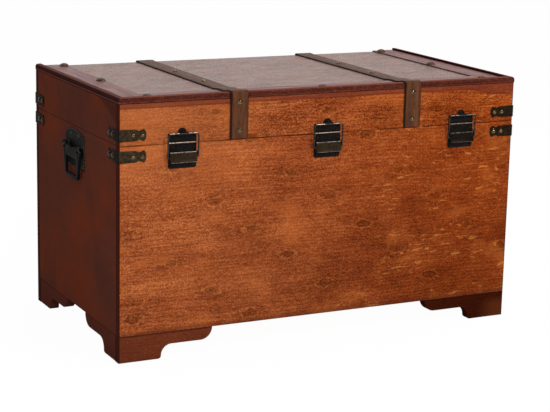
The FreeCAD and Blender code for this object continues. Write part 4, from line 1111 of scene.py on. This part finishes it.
def makeBail():
    b = bail
    half, top, low, outer = b["half"], -b["top"], -b["low"], b["outer"]
    crest, bend, corner, bottom = b["crest"], b["bend"], b["corner"], -b["bottom"]
    ear = handle["lugOffset"] + handle["lugHalf"] + b["gap"]
    side = handle["lugOffset"] - handle["lugHalf"] - b["gap"]
    tip = ear + b["earLength"]
    back = handle["pivot"] - b["thickness"] / 2
    iron = blank(mirrored([
        (outer - corner, bottom, corner), (outer, bottom + corner), (half, low), (tip, top), (tip, 0),
        (ear, 0), (ear, top), (side, top), (side, crest, bend), (0, crest - b["dip"])]),
        b["thickness"], back)
    inner, bar, turn = b["inner"], -b["bar"], b["innerCorner"]
    window = blank(mirrored([
        (inner - turn, bar, turn), (inner, bar + turn), (inner, low - turn, turn), (inner - turn, low)]),
        b["thickness"] * 2, back - b["thickness"] / 2)
    modify(iron, "BOOLEAN", operation="DIFFERENCE", object=window, solver="EXACT")
    dropped(window)
    eased(iron, b["edge"], 3, angle=50)
    ears = []
    for sign in (-1, 1):
        ears.append(added(bpy.ops.mesh.primitive_cylinder_add, vertices=b["earRing"], radius=b["ear"] * mm,
                          depth=b["earLength"] * mm, rotation=(0, math.pi / 2, 0),
                          location=Vector((sign * (ear + tip) / 2, -handle["pivot"], 0)) * mm))
        eased(ears[-1], b["earEdge"], angle=60)
    return merged([iron, *ears])


def makeHandles():
    back, iron = makeBack(), makeBail()
    for side, sign in sides:
        turn = (0, 0, sign * math.pi / 2)
        seat = (sign * case["halfWidth"], handle["y"] * mm, handle["z"] * mm)
        finished(copied(back, turn, seat), side + "HandleBack", "handleIron", "chest",
                 side + "_handle_plate")
        finished(copied(iron, turn, seat), side + "BailIron", "handleIron", side + "_bail",
                 side + "_handle_bail")
    dropped(back, iron)


materials = {name: woodMaterial(name) for name in woods}
materials.update({name: hideMaterial(name) for name in hides})
materials.update({name: metalMaterial(name) for name in metals})
print("materials built:", len(materials))

makeCovering()
makeStraps()
print("covering and straps made")
makeNails()
makeBrackets()
print("nails and brackets made")
makeLatches()
makeHandles()
print("latches and handles made")

# the finish of each node that stays as it is
feet = ["foot_front_left", "foot_front_right", "foot_back_left", "foot_back_right"]
finishes = {
    "frontVeneer": ["front_panel", "back_panel", "lid_front_rail", "lid_back_rail"],
    "sideStain": ["left_side_panel", "right_side_panel", "lid_left_rail", "lid_right_rail"],
    "footFaceStain": [foot + "_face" for foot in feet], "footSideStain": [foot + "_side" for foot in feet],
    "endBandStain": ["left_end_band", "right_end_band"],
    "frontBandStain": ["front_band"],
    "longBeadStain": ["front_bead"],
    "endBeadStain": ["left_bead", "right_bead"],
    "plainBoard": ["bottom_panel", "lid_top_board", "foot_glue_blocks"],
    "hingeSteel": ["hinge_body_leaves", "hinge_lid_leaves", "hinge_pins", "body_hinge_screws",
                   "lid_hinge_screws"],
    "latchBlack": ["latch_lever_pins", "latch_catch_screws", "latch_base_screws"],
    "handleIron": ["handle_pins", "handle_screws"],
}
for finish, members in finishes.items():
    for member in members:
        coated(nodes[member].data, finish)


# floor, room and lamps

stageSet = {"floorSize": 14.0, "floorDrop": 0.0004, "pale": (0.9, 0.9, 0.9, 1), "shown": 0.975,
            "sky": 0.62, "room": 0.2, "aim": (0, 0, 0.25)}
lamps = {
    "key": {"place": (1.5, -2.7, 2.3), "size": 0.45, "power": 62.0},
    "fill": {"place": (-1.4, -2.6, 1.4), "size": 0.7, "power": 16.0},
    "top": {"place": (0.3, 0.4, 2.6), "size": 1.4, "power": 14.0},
}
white = (1, 1, 1, 1)


def addStage():
    place = (0, 0, -stageSet["floorDrop"])
    bpy.ops.mesh.primitive_plane_add(size=stageSet["floorSize"], location=place)
    floor = bpy.context.object
    floor.name = "floor"
    material = bpy.data.materials.new("paleFloor")
    material.use_nodes = True
    tree = material.node_tree
    tree.nodes.clear()
    # nearly as bright to the camera as the room behind, whatever light falls on it
    seen = wires(put(tree, "LightPath"))["Is Camera Ray"] * stageSet["shown"]
    plain, bright = put(tree, "BsdfDiffuse", Color=stageSet["pale"]), put(tree, "Emission", Color=white)
    put(tree, "OutputMaterial", None, [put(tree, "MixShader", None, (seen, plain, bright))])
    floor.data.materials.append(material)
    bpy.ops.object.select_all(action="DESELECT")


def addWorld():
    world = bpy.data.worlds.new("paleRoom")
    bpy.context.scene.world = world
    world.use_nodes = True
    tree = world.node_tree
    tree.nodes.clear()
    rays = wires(put(tree, "LightPath"))
    # what shines sees the pale backdrop behind the chest and a dimmer room before it
    towards = split(wires(put(tree, "TexCoord"))["Generated"])[1]
    glossy = fade(towards, -0.1, 0.3, stageSet["room"], 1.0)
    lit = fade(rays["Is Glossy Ray"], 0.0, 1.0, stageSet["sky"], glossy)
    strength = fade(rays["Is Camera Ray"], 0.0, 1.0, lit, 1.0)
    put(tree, "OutputWorld", None, [put(tree, "Background", Color=white, Strength=strength)])


def addLamps():
    for name, lamp in lamps.items():
        data = bpy.data.lights.new(name, "AREA")
        data.size = lamp["size"]
        data.energy = lamp["power"]
        light = linked(name, data)
        light.location = lamp["place"]
        aim = Vector(stageSet["aim"]) - Vector(lamp["place"])
        light.rotation_euler = aim.to_track_quat("-Z", "Y").to_euler()


addCamera()
addStage()
addWorld()
addLamps()
bpy.context.scene.view_settings.view_transform = "Standard"
print("stage set")
